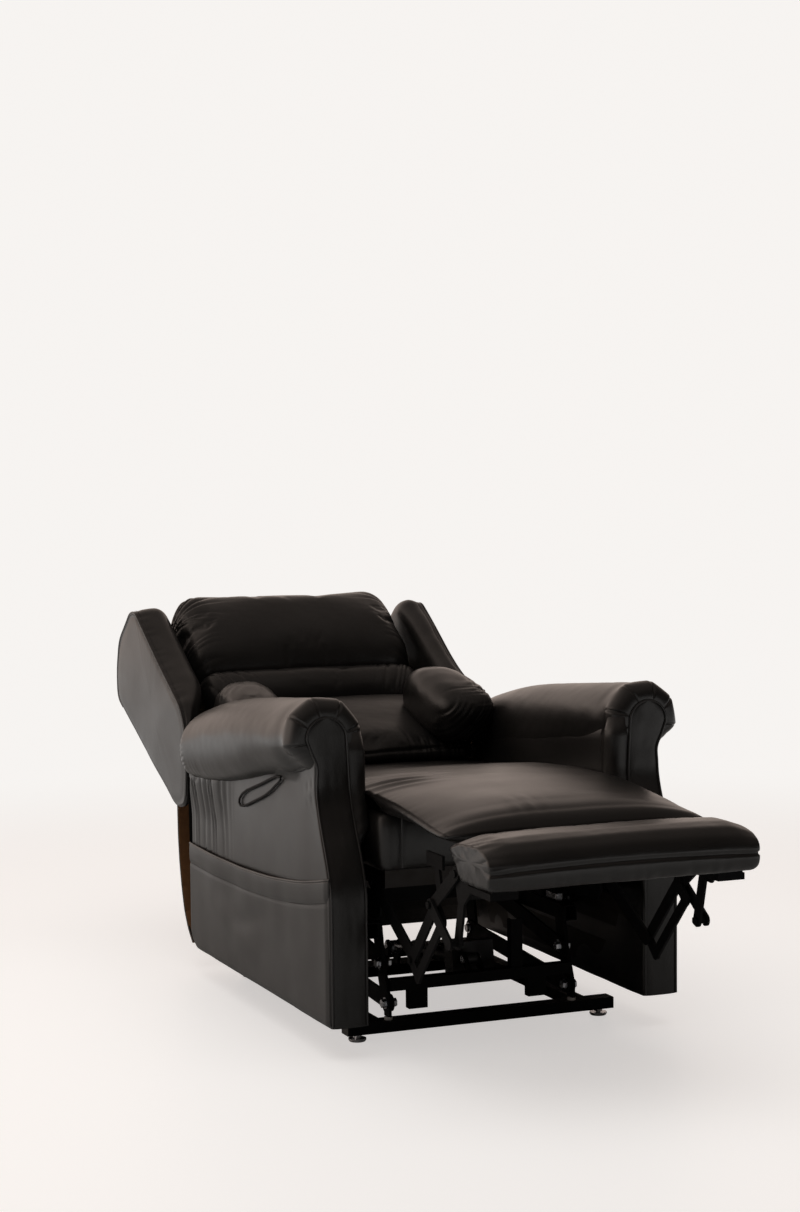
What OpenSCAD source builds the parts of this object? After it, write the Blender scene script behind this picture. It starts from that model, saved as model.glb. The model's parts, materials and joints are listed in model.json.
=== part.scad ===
// Lift recliner chair: lift down, back reclined and footrest out.
// Modules are written with Y = 0 at the front of the floor frame; place()
// brings the middle of the whole chair to the origin.

/* [Floor frame] */
// Length of the front floor tube
floor_tube_l = 554; // [520:2:600]
// Depth of a floor tube, front to back
floor_tube_d = 33; // [26:1:40]
// Height of a floor tube
floor_tube_h = 22; // [18:1:28]
// Wall of a floor tube
floor_tube_wall = 2; // [1.5:0.5:3]
// Height of the levelling feet under the tubes
foot_h = 14; // [10:1:20]
// Diameter of a levelling foot
foot_d = 34; // [24:1:40]
// Length of the floor frame, front to back
floor_frame_l = 650; // [630:5:690]
// Width over the side rails of the floor frame
floor_rails_w = 460; // [450:2:480]

/* [Lift linkage] */
// Distance from the middle to the inner face of a link plate
plate_x = 190; // [180:1:192]
// Thickness of link plates
plate_t = 6; // [4:1:7]
// Thickness of a lift link
lift_link_t = 6; // [4:1:7]
// Width of a lift link
lift_link_w = 32; // [26:1:34]
// Diameter of the pivot bolts
bolt_d = 10; // [8:1:12]
// Width across a bolt head
bolt_head_d = 17; // [15:1:20]
// Height of a bolt head
bolt_head_h = 7; // [5:1:8]
// Front pivot of the lower lift link, back from the front tube
front_low_y = 18; // [17:1:20]
// Height of the front pivot of the lower lift link
front_low_z = 66; // [62:1:68]
// Front pivot of the upper lift link, back from the front tube
front_up_y = 46; // [44:1:50]
// Height of the front pivot of the upper lift link
front_up_z = 137; // [134:1:140]
// Rear pivot of the lower lift link, back from the front tube
rear_low_y = 475; // [465:1:485]
// Height of the rear pivot of the lower lift link
rear_low_z = 95; // [90:1:100]
// Rear pivot of the upper lift link, back from the front tube
rear_up_y = 501; // [495:1:510]
// Height of the rear pivot of the upper lift link
rear_up_z = 220; // [214:1:226]
// Gap between plates that turn against each other
plate_gap = 0.5; // [0.3:0.1:0.8]

/* [Lift frame] */
// Width of a lift frame side rail
rail_w = 25; // [20:1:28]
// Height of a lift frame side rail
rail_h = 30; // [24:1:34]
// Height of the underside of the side rails
rail_z = 185; // [183:1:190]
// Rear end of the side rails
rail_back_y = 640; // [630:2:660]
// Height of the front crossbar
crossbar_h = 21; // [18:1:22]
// Depth of the front crossbar, front to back
crossbar_d = 24; // [20:1:25]

/* [Arms] */
// Width over both arms
arms_w = 810; // [790:2:850]
// Radius of the padded roll on an arm
roll_r = 73.5; // [70:0.5:75]
// Height of the roll's top at the front
roll_top_z = 657; // [640:1:680]
// Height of the roll's top a quarter of the way back
roll_mid_z = 634; // [620:1:640]
// Height of the roll's top at its rear end
roll_back_z = 556; // [545:1:560]
// Outer side of the side panels, from the middle
panel_x = 356; // [350:1:360]
// Inner side of the lower arm, from the middle
arm_in_x = 284; // [280:1:290]
// Inner side of the upper arm, from the middle
arm_in_top_x = 261; // [259:1:266]
// Height of an arm's bottom edge above the floor
arm_bottom_z = 60; // [55:1:70]
// Front of the lower arm, ahead of the front tube
arm_front = 115; // [110:1:120]
// Rear edge of the arms, back from the front tube
arm_back_y = 710; // [700:1:712]

/* [Seat] */
// Width of the seat pad
seat_w = 512; // [490:2:514]
// Height of the seat pad's front edge
seat_edge_z = 475; // [470:1:480]
// Thickness of the seat pad at its edge
pad_t = 29; // [25:1:32]
// Travel of the seat carriage when the back rises
carriage_travel = 50; // [40:1:60]
// Height of the timber seat rails
seat_rail_h = 40; // [34:1:44]
// Thickness of the timber seat rails
seat_rail_t = 20; // [16:1:24]

/* [Footrest] */
// Distance from the front tube to the front of the footrest pad
foot_front = 594; // [585:1:600]
// Thickness of the footrest links
foot_link_t = 5; // [4:0.5:5.5]
// Width of the footrest links
foot_link_w = 24; // [20:1:26]

/* [Back] */
// Slope of the back when reclined, above level
back_angle = 26; // [24:0.5:28]
// Outer side of the wings, from the middle
wing_x = 365; // [355:1:372]
// Thickness of a wing
wing_t = 84; // [70:1:86]
// Width of the back cushions
cushion_w = 510; // [480:2:520]

/* [Hidden] */

steel = [0.05, 0.05, 0.055];
zinc = [0.72, 0.73, 0.75];
leather = [0.035, 0.034, 0.035];
plastic = [0.08, 0.08, 0.085];
timber = [0.62, 0.47, 0.3];
fine = 48;
soft = 32;

// Pivots as [back, up], seen from the chair's left side
low_front = [front_low_y, front_low_z];
up_front = [front_up_y, front_up_z];
low_rear = [rear_low_y, rear_low_z];
up_rear = [rear_up_y, rear_up_z];
bore_gap = 0.1;
open_bore_gap = 4.6;
tube_top_z = foot_h + floor_tube_h;
link_x = plate_x - plate_gap - lift_link_t;
rail_x = plate_x + plate_t + 1;
rail_top_z = rail_z + rail_h;

// Back: u runs up the back from the wing's lower tip, v runs forward out of it
tip = [787, 345];
wing_outline = [[0, 0], [-52, 42], [-29, 128], [-23, 199], [36, 213], [236, 219], [451, 233],
  [482, 212], [498, 178], [533, 111], [521, 38], [489, -19], [238, -11]];
wing_in_x = wing_x - wing_t;
back_pivot = [560, 410];
function back_at(u, v) = [tip[0] + u * cos(back_angle) - v * sin(back_angle),
  tip[1] + u * sin(back_angle) + v * cos(back_angle)];

// Footrest linkage at rest
crank_pivot = [-21, 307];
crank_end = [-218, 198];
long_end = [-330, 318];
bracket_pivot = [-430, 388];
slot_step = [-28, -26];
knee = [-410, 264];
drop_pivot = [-436, 366];

// Planes of the footrest links, outwards from the middle
mech_x = 226;
plane_step = foot_link_t + 0.6;
crank_x = mech_x + plane_step;
long_x = crank_x + plane_step;
front_x = long_x + plane_step;
knee_x = front_x + plane_step;
foot_bolt_d = 8;

// Actuators
lift_motor_pivot = [60, 125];
lift_rod_pivot = [450, 80];
lift_motor_x = 0;
back_motor_pivot = [150, 240];
back_rod_pivot = [575, 285];
back_motor_x = 70;
eye_d = 24;
eye_t = 20;
eye_gap = 0.6;
ear_t = 5;
pin_d = 8;
lift_eye_r = 10.8;
lift_eye_off = [-0.8, -6.4];
back_eye_r = 9.3;
back_eye_off = [2.5, -4.1];

// Middle of the whole chair, front to back
rear_y = back_at(521, 38)[0];
mid_y = (rear_y - foot_front) / 2;

module place() translate([0, -mid_y, 0]) children();

// Raises a [back, up] outline sideways, from x
module side(x, t) translate([x, 0, 0]) rotate([90, 0, 90]) linear_extrude(t) children();

// The same on both sides of the chair
module both(x, t) {
  side(x, t) children();
  side(-x - t, t) children();
}

// A flat link of width w, its rounded ends a shade wider
eye_rise = 0.6;
module bar(a, b, w) {
  d = b - a;
  translate(a) rotate(atan2(d[1], d[0])) translate([0, -w / 2]) square([norm(d), w]);
  translate(a) circle(d = w + eye_rise, $fn = fine);
  translate(b) circle(d = w + eye_rise, $fn = fine);
}

module hole(p, d) translate(p) circle(d = d, $fn = fine);

// Round bar along x
module pin(p, x, l, d) translate([x, p[0], p[1]]) rotate([0, 90, 0]) cylinder(d = d, h = l, $fn = fine);

module hex_head(p, x, l, d) translate([x, p[0], p[1]]) rotate([0, 90, 0]) cylinder(d = d, h = l, $fn = 6);

// Pin through a pair of ears and the actuator eye between them
module ear_pin(p, x) {
  w = eye_t + 2 * eye_gap + 2 * ear_t;
  pin(p, x - w / 2, w, pin_d - 2 * bore_gap);
  for (s = [-1, 1]) pin(p, x + s * (w / 2 + 1.5) - 1.5, 3, pin_d + 6);
}
// A pair of ears, joined by their outline to whatever carries them
module ears(p, x, r, foot) for (s = [-1, 1])
  side(x + s * (eye_t / 2 + eye_gap + ear_t / 2) - ear_t / 2, ear_t) difference() {
    union() {
      hole(p, 2 * r);
      polygon(foot);
    }
    hole(p, pin_d);
  }

// Puts an outline in u, v on the slope of the back
module on_back(x, t) translate([x, tip[0], tip[1]]) rotate([back_angle, 0, 0])
  rotate([90, 0, 90]) linear_extrude(t) children();

// ---------- floor frame ----------
mid_tube_y = 455;
feet_x = 254;
feet_y = [17, floor_frame_l - 17];
bumper_h = 6;
module hollow_tube(l, y) translate([-l / 2, y, foot_h]) difference() {
  cube([l, floor_tube_d, floor_tube_h]);
  translate([-1, floor_tube_wall, floor_tube_wall])
    cube([l + 2, floor_tube_d - 2 * floor_tube_wall, floor_tube_h - 2 * floor_tube_wall]);
}

module rear_upright() difference() {
  union() {
    bar(low_rear, up_rear, 40);
    polygon([[mid_tube_y, tube_top_z - 1], [mid_tube_y + 60, tube_top_z - 1],
      [rear_low_y + 20, rear_low_z], [rear_low_y - 20, rear_low_z]]);
  }
  hole(low_rear, bolt_d);
  hole(up_rear, bolt_d);
}

module floor_frame() place() color(steel) {
  rail_l = floor_frame_l - 2 * floor_tube_d;
  hollow_tube(floor_tube_l, 0);
  hollow_tube(floor_tube_l, floor_frame_l - floor_tube_d);
  for (s = [-1, 1])
    translate([s * (floor_rails_w / 2 - 12.5) - 12.5, floor_tube_d - 0.5, foot_h])
      cube([25, rail_l + 1, floor_tube_h]);
  translate([-floor_rails_w / 2, mid_tube_y, foot_h]) cube([floor_rails_w, floor_tube_d, floor_tube_h]);
  translate([-plate_x - plate_t, mid_tube_y + floor_tube_d - 0.5, foot_h])
    cube([2 * (plate_x + plate_t), 60 - floor_tube_d, floor_tube_h]);
  both(plate_x, plate_t) rear_upright();
  ears(lift_rod_pivot, lift_motor_x, 11, [lift_rod_pivot + [-10, 0], lift_rod_pivot + [10, 0],
    [mid_tube_y + 30, tube_top_z - 1], [mid_tube_y + 1, tube_top_z - 1]]);
}

module tube_end_caps() place() color(plastic) {
  inner_d = floor_tube_d - 2 * floor_tube_wall;
  inner_h = floor_tube_h - 2 * floor_tube_wall;
  for (y = [0, floor_frame_l - floor_tube_d], s = [-1, 1])
    translate([s * floor_tube_l / 2, y + floor_tube_d / 2, foot_h + floor_tube_h / 2]) {
      translate([s * 1.25, 0, 0]) cube([2.5, floor_tube_d, floor_tube_h], center = true);
      translate([-s * 6, 0, 0]) cube([12, inner_d, inner_h], center = true);
    }
}

module levelling_feet() place() color(zinc)
  for (x = [-feet_x, feet_x], y = feet_y) translate([x, y, 0]) {
    cylinder(d1 = foot_d - 4, d2 = foot_d, h = 3, $fn = fine);
    translate([0, 0, 3]) cylinder(d = foot_d, h = 3, $fn = fine);
    translate([0, 0, 6]) cylinder(d = bolt_d, h = foot_h - 6, $fn = fine);
    translate([0, 0, 8]) cylinder(d = 18, h = foot_h - 8, $fn = 6);
  }

module rest_bumpers() place() color([0.9, 0.9, 0.88])
  for (s = [-1, 1]) translate([s * (plate_x + plate_t / 2), 11, tube_top_z])
    cylinder(d = 16, h = bumper_h, $fn = fine);

// Bolt of a rear pivot: a head inside the link, its end flush in the upright
module floor_pivot_bolts() place() color(zinc) {
  for (s = [-1, 1], p = [low_rear, up_rear]) {
    l = plate_t + plate_gap + lift_link_t + plate_gap;
    head_x = plate_x + plate_t - l;
    mirror([s < 0 ? 1 : 0, 0, 0]) {
      pin(p, head_x, l, bolt_d - 2 * bore_gap);
      hex_head(p, head_x - bolt_head_h, bolt_head_h, bolt_head_d);
      pin(p, head_x - 1.5, 1.5, bolt_head_d + 5);
    }
  }
  ear_pin(lift_rod_pivot, lift_motor_x);
}

// ---------- lift links ----------
module lift_link(a, b, open_gap) difference() {
  bar(a, b, lift_link_w);
  hole(a, bolt_d + 2 * (open_gap > 0 ? open_gap : bore_gap));
  hole(b, bolt_d + 2 * bore_gap);
}
module lower_link_at(x) place() color(steel) side(x, lift_link_t) lift_link(low_front, low_rear, 0);
module upper_link_at(x) place() color(steel) side(x, lift_link_t) lift_link(up_front, up_rear, open_bore_gap);
module lower_lift_link_left() lower_link_at(-link_x - lift_link_t);
module lower_lift_link_right() lower_link_at(link_x);
module upper_lift_link_left() upper_link_at(-link_x - lift_link_t);
module upper_lift_link_right() upper_link_at(link_x);

// ---------- lift frame ----------
crossbar_y = 5;
crossbar_z = 90;
post_y = 60;
tab_x = [-132, 118];
tab_w = 38;
tab_drop = 38;
outrigger_y = [205, 560];
outrigger_w = 30;
flange_t = 4;
hanger_x = 75;
module lift_plate() difference() {
  union() {
    bar(low_front, up_front, 36);
    bar(up_front, [post_y, rail_z + 14], 36);
    translate([11 - 10, tube_top_z + bumper_h]) square([24, 20]);
  }
  hole(low_front, bolt_d);
  hole(up_front, bolt_d);
}
module lift_frame() place() color(steel) {
  both(plate_x, plate_t) lift_plate();
  for (s = [-1, 1]) {
    translate([s * (rail_x + rail_w / 2) - rail_w / 2, post_y - 15, rail_z]) difference() {
      cube([rail_w, rail_back_y - post_y + 15, rail_h]);
      translate([2, -1, 2]) cube([rail_w - 4, rail_back_y - post_y + 17, rail_h - 4]);
    }
    // joins the plate to the rail
    translate([s * (plate_x + plate_t + 1) - 2, post_y - 14, rail_z]) cube([4, 28, rail_h]);
    // outriggers that carry the arms
    for (y = outrigger_y) {
      translate([s > 0 ? rail_x + rail_w - 0.5 : -arm_in_x, y, rail_z])
        cube([arm_in_x - rail_x - rail_w + 0.5, outrigger_w, rail_h]);
      translate([s * (arm_in_x - flange_t / 2) - flange_t / 2, y - 15, rail_z - 20])
        cube([flange_t, outrigger_w + 30, rail_h + 40]);
    }
  }
  translate([-rail_x - 1, rail_back_y - 40, rail_z]) cube([2 * rail_x + 2, 30, rail_h]);
}

// Front crossbar between the plates, with its tabs, ears and hanger
module lift_crossbar() place() color(steel) {
  translate([-plate_x, crossbar_y, crossbar_z]) cube([2 * plate_x, crossbar_d, crossbar_h]);
  for (x = tab_x) translate([x - tab_w / 2, crossbar_y + 3, crossbar_z - tab_drop])
    difference() {
      cube([tab_w, crossbar_d - 6, tab_drop + 1]);
      translate([4, 4, -1]) cube([tab_w - 8, crossbar_d, tab_drop + 3]);
    }
  ears(lift_motor_pivot, lift_motor_x, 11, [lift_motor_pivot + [-4, 10], lift_motor_pivot + [2, -10],
    [crossbar_y + crossbar_d - 1, crossbar_z + 2], [crossbar_y + crossbar_d - 1, crossbar_z + crossbar_h]]);
  // upright hanger on the crossbar
  translate([hanger_x - 12, crossbar_y + 4, crossbar_z + crossbar_h - 1]) difference() {
    cube([24, 18, 95]);
    translate([4, 4, -1]) cube([16, 20, 97]);
  }
}

module lift_frame_bolts() place() color(zinc) {
  for (s = [-1, 1], p = [low_front, up_front]) mirror([s < 0 ? 1 : 0, 0, 0]) {
    l = plate_t + plate_gap + lift_link_t + plate_gap;
    x = plate_x + plate_t - l;
    pin(p, x, l + 6, bolt_d - 2 * bore_gap);
    hex_head(p, plate_x + plate_t + 1.5, bolt_head_h, bolt_head_d);
    pin(p, plate_x + plate_t, 1.5, bolt_head_d + 5);
    pin(p, x - 1.5, 1.5, p == up_front ? 26 : bolt_head_d + 5);
    hex_head(p, x - 1.5 - bolt_head_h, bolt_head_h, bolt_head_d);
  }
  ear_pin(lift_motor_pivot, lift_motor_x);
  // bolts of the outrigger flanges, heads on the inside
  for (s = [-1, 1], y = outrigger_y, dy = [-8, outrigger_w + 8])
    hex_head([y + dy, rail_z + rail_h / 2], s > 0 ? arm_in_x - flange_t - 5 : -arm_in_x + flange_t, 5, 13);
}

slide_w = 12;
slide_h = 14;
slide_x = rail_x + (rail_w - slide_w) / 2;
module seat_slide_rails() place() color(zinc)
  for (s = [-1, 1]) translate([s * (slide_x + slide_w / 2) - slide_w / 2, 95, rail_top_z])
    cube([slide_w, 505, slide_h]);

box_size = [120, 54, 34];
socket_d = 12;
module control_box() place() color(plastic)
  translate([-box_size[0] / 2 + 60, rail_back_y - 40 - box_size[1], rail_z - 2]) difference() {
    cube(box_size);
    for (i = [0:2]) translate([24 + i * 32, -1, box_size[2] / 2]) rotate([-90, 0, 0])
      cylinder(d = socket_d, h = 14, $fn = fine);
  }

// ---------- arms ----------
roll_x = arms_w / 2 - roll_r;
roll_front_y = -44;
roll_mid_y = 200;
roll_back_y = arm_back_y - 28.5 - roll_r;
top_front_y = -44;
curve_z = [290, 500];
function ease(t) = t * t * (3 - 2 * t);
function clamp01(t) = min(1, max(0, t));
function arm_front_y(z) = -arm_front
  + (arm_front + top_front_y) * ease(clamp01((z - curve_z[0]) / (curve_z[1] - curve_z[0])));
front_steps = [for (i = [0:8]) curve_z[0] + (curve_z[1] - curve_z[0]) * i / 8];
neck_z = 400;
function arm_front_points(d, z0, z1) = concat([[arm_front_y(z0) - d, z0]],
  [for (z = front_steps) if (z > z0 && z < z1) [arm_front_y(z) - d, z]], [[arm_front_y(z1) - d, z1]]);

module arm_panel_outline() polygon(concat(arm_front_points(0, arm_bottom_z, 560),
  [[arm_back_y - 100, 490], [arm_back_y - 14, neck_z + 30], [arm_back_y, neck_z - 30],
    [arm_back_y, arm_bottom_z + 40], [arm_back_y - 12, arm_bottom_z + 12], [arm_back_y - 40, arm_bottom_z]]));

module arm_neck_outline() polygon(concat(arm_front_points(0, neck_z, 560),
  [[roll_back_y, roll_back_z - roll_r], [arm_back_y - 22, 470], [arm_back_y - 16, neck_z + 36],
    [arm_back_y - 10, neck_z]]));

// The timber frame inside a right arm: a side board, a foot rail and a top rail
frame_x = 300;
frame_board_t = 16;
module arm_frame() color(timber) {
  side(frame_x, frame_board_t) polygon(concat(arm_front_points(-14, 90, 520),
    [[roll_back_y - 20, 440], [arm_back_y - 40, 400], [arm_back_y - 40, 90]]));
  translate([arm_in_x, -80, 80]) cube([frame_x - arm_in_x, 740, 60]);
  translate([arm_in_x, -60, rail_z - 10]) cube([frame_x - arm_in_x, 720, 60]);
}
module arm_frame_right() place() arm_frame();
module arm_frame_left() place() mirror([1, 0, 0]) arm_frame();

module roll_ball(y, top) translate([roll_x, y, top - roll_r]) sphere(r = roll_r, $fn = soft);
module arm_roll() hull() {
  translate([roll_x, roll_front_y, roll_top_z - roll_r]) rotate([-90, 0, 0])
    cylinder(r = roll_r, h = 4, $fn = soft);
  roll_ball(roll_mid_y, roll_mid_z);
  roll_ball(roll_back_y, roll_back_z);
}

pocket_recess = [24, 64, 190];
module arm_cover() color(leather) difference() {
  union() {
    side(arm_in_x, panel_x - arm_in_x) arm_panel_outline();
    side(arm_in_top_x, panel_x - arm_in_top_x - 6) arm_neck_outline();
    arm_roll();
  }
  arm_frame();
}
handset_y = 70;
handset_z = 96;
module arm_right() place() arm_cover();
module arm_left() place() difference() {
  mirror([1, 0, 0]) arm_cover();
  translate([-panel_x - 1, handset_y, handset_z]) cube([pocket_recess[0] + 1, pocket_recess[1], pocket_recess[2]]);
}

facing_t = 4;
facing_x = [300, 348];
module facing_outline(z0, z1) {
  front = arm_front_points(0, z0, z1);
  n = len(front);
  polygon(concat(front, [for (i = [n - 1:-1:0]) front[i] - [facing_t, 0]]));
}
module arm_facings() place() color(leather) for (m = [0, 1]) mirror([m, 0, 0]) {
  side(facing_x[0], facing_x[1] - facing_x[0]) facing_outline(arm_bottom_z + 10, roll_top_z - roll_r);
  translate([(facing_x[0] + facing_x[1]) / 2, top_front_y - facing_t, roll_top_z - roll_r])
    rotate([-90, 0, 0]) cylinder(d = facing_x[1] - facing_x[0] + 16, h = facing_t, $fn = fine);
}

pocket_t = 4;
module side_pocket() place() color(leather) side(-panel_x - pocket_t, pocket_t)
  polygon([[-arm_front + 4, 64], [-arm_front + 4, 331], [0, 312], [120, 297], [300, 285], [480, 279],
    [arm_back_y - 2, 281], [arm_back_y - 2, 100], [arm_back_y - 14, 73], [arm_back_y - 40, 64]]);

// Pull loop: a flat cord doubled back to its root, along round points
loop_d = 5;
loop_sides = 8;
loop_x = -panel_x - loop_d / 2 * cos(180 / loop_sides);
loop_points = [[107, 481], [122, 483], [140, 480.5], [168, 474], [200, 465], [235, 455], [272, 446],
  [308, 437], [336, 425], [352, 412], [354, 400], [344, 392], [324, 392], [296, 399], [262, 409],
  [226, 419], [192, 430], [162, 443], [138, 457], [118, 467], [107, 475]];
function unit(v) = v / norm(v);
function loop_dir(i) = unit(loop_points[min(i + 1, len(loop_points) - 1)] - loop_points[max(i - 1, 0)]);
function ring(i, n) = [for (k = [0.5:n])
  [loop_x + loop_d / 2 * cos(360 * k / n),
   loop_points[i][0] - loop_dir(i)[1] * loop_d / 2 * sin(360 * k / n),
   loop_points[i][1] + loop_dir(i)[0] * loop_d / 2 * sin(360 * k / n)]];
module pull_loop() place() color(plastic) {
  n = loop_sides;
  m = len(loop_points);
  polyhedron(
    points = [for (i = [0:m - 1]) for (p = ring(i, n)) p],
    faces = concat([[for (k = [n - 1:-1:0]) k]], [[for (k = [0:n - 1]) (m - 1) * n + k]],
      [for (i = [0:m - 2]) for (k = [0:n - 1])
        [i * n + k, i * n + (k + 1) % n, (i + 1) * n + (k + 1) % n, (i + 1) * n + k]]));
}

// ---------- handset ----------
handset_size = [22, 56, 176];
button_d = 15;
button_travel = 1.2;
button_names_y = [18, 38];
button_z = [112, 146];
handset_x = -panel_x + 0.5;
button_depth = 6;
module button(i, j) place() color([0.5, 0.5, 0.52])
  translate([handset_x + 0.8, handset_y + 4 + button_names_y[i], handset_z + button_z[j]])
    rotate([0, 90, 0]) cylinder(d = button_d - 0.8, h = button_depth, $fn = fine);
module handset() place() color(plastic)
  translate([handset_x + 2.6, handset_y + 4, handset_z]) difference() {
    cube([handset_size[0] - 4, handset_size[1], handset_size[2]]);
    for (y = button_names_y, z = button_z) translate([-1, y, z]) rotate([0, 90, 0])
      cylinder(d = button_d, h = button_depth + 2, $fn = fine);
    // socket for the lead, at the lower end
    translate([9, handset_size[1] / 2, -1]) cylinder(d = 8, h = 14, $fn = fine);
  }
module button_recline() button(0, 0);
module button_upright() button(1, 0);
module button_lift() button(0, 1);
module button_lower() button(1, 1);

// ---------- actuators ----------
tube_d = 30;
rod_d = 18;
housing_start = 32;
housing_l = 40;
motor_l = 90;
motor_d = 38;
motor_side = 42;
neck_w = 18;
rod_start = 100;
rod_gap = 0.5;
// Draws along the line from a to b, in the plane of the given x
module along(a, b, x) translate([x, a[0], a[1]]) rotate([atan2(b[1] - a[1], b[0] - a[0]), 0, 0])
  rotate([-90, 0, 0]) children();
module motor_body(a, b, x, tube_l) difference() {
  union() {
    pin(a, x - eye_t / 2, eye_t, eye_d);
    along(a, b, x) {
      translate([-neck_w / 2, -neck_w / 2, 0]) cube([neck_w, neck_w, housing_start + 1]);
      translate([0, 0, housing_start + 4]) cylinder(d = tube_d, h = tube_l - 4, $fn = fine);
      translate([0, 0, housing_start + 2]) cylinder(d = tube_d + 12, h = housing_l + 12, $fn = fine);
      translate([0, 0, housing_start + tube_l - 30]) cylinder(d = tube_d + 5, h = 24, $fn = fine);
      // gears, and the motor beside the tube
      translate([-motor_d / 2 - 5, -30, housing_start]) cube([motor_d + motor_side + 8, 60, housing_l]);
      translate([motor_side, 0, housing_start + housing_l - 2]) cylinder(d = motor_d, h = motor_l, $fn = fine);
    }
  }
  along(a, b, x) translate([0, 0, rod_start - 8])
    cylinder(d = rod_d + 2 * rod_gap, h = tube_l, $fn = fine);
  pin(a, x - eye_t, 2 * eye_t, pin_d + 2 * bore_gap);
}
// The far eye stands off its pin, which moves about in it as the joint turns
module rod_body(a, b, x, bore_r, off) difference() {
  union() {
    pin(b + off, x - eye_t / 2, eye_t, 2 * (bore_r + 4.5));
    along(a, b, x) translate([0, 0, rod_start]) cylinder(d = rod_d, h = norm(b - a) - rod_start - 8, $fn = fine);
  }
  pin(b + off, x - eye_t, 2 * eye_t, 2 * bore_r);
}
lift_tube_l = 250;
back_tube_l = 270;
module lift_motor() place() color([0.16, 0.16, 0.17])
  motor_body(lift_motor_pivot, lift_rod_pivot, lift_motor_x, lift_tube_l);
module lift_rod() place() color(zinc)
  rod_body(lift_motor_pivot, lift_rod_pivot, lift_motor_x, lift_eye_r, lift_eye_off);
module back_motor() place() color([0.16, 0.16, 0.17])
  motor_body(back_motor_pivot, back_rod_pivot, back_motor_x, back_tube_l);
module back_rod() place() color(zinc)
  rod_body(back_motor_pivot, back_rod_pivot, back_motor_x, back_eye_r, back_eye_off);

// ---------- seat carriage ----------
shoe_gap = 0.4;
seat_rail_z = 300;
seat_front_y = -60;
seat_rear_y = 490;
side_rail_x = mech_x - seat_rail_t;
rear_rail_lift = 18;
module mechanism_plates() place() {
  color(steel) {
    both(mech_x, foot_link_t) difference() {
      union() {
        bar([-21, 262], [540, 262], 52);
        bar([-21, 262], crank_pivot, 34);
        bar([540, 262], back_pivot, 40);
      }
      hole(crank_pivot, foot_bolt_d);
      hole(back_pivot, bolt_d);
    }
  }
  color(zinc) {
    for (s = [-1, 1]) mirror([s < 0 ? 1 : 0, 0, 0]) {
      // crank pivots reach out through the crank
      pin(crank_pivot, mech_x, 2 * foot_link_t + 1.2, foot_bolt_d - 2 * bore_gap);
      hex_head(crank_pivot, mech_x + 2 * foot_link_t + 1.2, 4, 14);
      // back pivots reach in through the bracket
      pin(back_pivot, mech_x - 2 * plane_step, foot_link_t + 2 * plane_step, bolt_d - 2 * bore_gap);
      hex_head(back_pivot, mech_x - 2 * plane_step - 4, 4, bolt_head_d);
    }
    ear_pin(back_motor_pivot, back_motor_x);
  }
}

// Shoes that run on the slide rails, and the cross member that carries the back motor
module carriage_cross() place() color(steel) {
  for (s = [-1, 1], y = [150, 460])
    translate([s > 0 ? slide_x - 5 : -mech_x, y, rail_top_z + 1]) difference() {
      cube([mech_x - slide_x + 5, 60, 26]);
      translate([s > 0 ? 5 - shoe_gap : mech_x - slide_x - slide_w - shoe_gap, -1, -1])
        cube([slide_w + 2 * shoe_gap, 62, slide_h + shoe_gap]);
    }
  translate([-mech_x, back_motor_pivot[0] - 52, 240]) cube([2 * mech_x, 24, 30]);
  ears(back_motor_pivot, back_motor_x, 12, [back_motor_pivot + [0, 11], back_motor_pivot + [0, -11],
    [back_motor_pivot[0] - 40, 242], [back_motor_pivot[0] - 40, 268]]);
}

module seat_frame() place() color(timber) {
  l = seat_rear_y - seat_front_y;
  for (s = [-1, 1]) translate([s * (side_rail_x + seat_rail_t / 2) - seat_rail_t / 2, seat_front_y, seat_rail_z])
    cube([seat_rail_t, l, seat_rail_h]);
  translate([-side_rail_x - 0.5, seat_front_y, seat_rail_z]) cube([2 * side_rail_x + 1, seat_rail_t, seat_rail_h]);
  // the rear rail leaves room for the back's actuator
  translate([-side_rail_x - 0.5, seat_rear_y - seat_rail_t, seat_rail_z + rear_rail_lift])
    cube([2 * side_rail_x + 1, seat_rail_t, seat_rail_h - rear_rail_lift]);
  // blocks that bolt to the mechanism plates
  for (s = [-1, 1], y = [40, 400]) translate([s * (side_rail_x + seat_rail_t / 2) - seat_rail_t / 2, y, 270])
    cube([seat_rail_t, 50, seat_rail_z - 270 + 0.5]);
}

// Sinuous springs, front to back over the seat frame
wire_d = 4;
spring_pitch = 34;
spring_half_w = 18;
spring_count = 6;
spring_gap = 2 * side_rail_x / (spring_count + 1);
module spring_turn(left) difference() {
  circle(r = spring_pitch / 4 + wire_d / 2, $fn = soft);
  circle(r = spring_pitch / 4 - wire_d / 2, $fn = soft);
  translate([left ? 0 : -60, -30]) square([60, 60]);
}
module seat_springs() place() color(zinc) {
  turns = floor((seat_rear_y - seat_front_y - seat_rail_t) / spring_pitch);
  y0 = seat_front_y + seat_rail_t / 2 + spring_pitch / 4;
  for (i = [1:spring_count]) translate([-side_rail_x + i * spring_gap, y0, seat_rail_z + seat_rail_h])
    linear_extrude(wire_d) for (k = [0:turns - 1]) {
      translate([spring_half_w - 8, k * spring_pitch]) spring_turn(false);
      translate([-spring_half_w + 8, (k + 0.5) * spring_pitch]) spring_turn(true);
      for (j = [0, 1]) translate([-spring_half_w + 7.9, (k + j / 2) * spring_pitch + spring_pitch / 4 - wire_d / 2])
        square([2 * spring_half_w - 15.8, wire_d]);
    }
}

core_z = seat_rail_z + seat_rail_h + wire_d;
pad_z = seat_edge_z - pad_t;
border_t = 20;
module seat_core() place() color([0.85, 0.82, 0.7])
  translate([-seat_w / 2 + border_t, seat_front_y, core_z]) cube([seat_w - 2 * border_t, 560, pad_z - core_z]);

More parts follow.
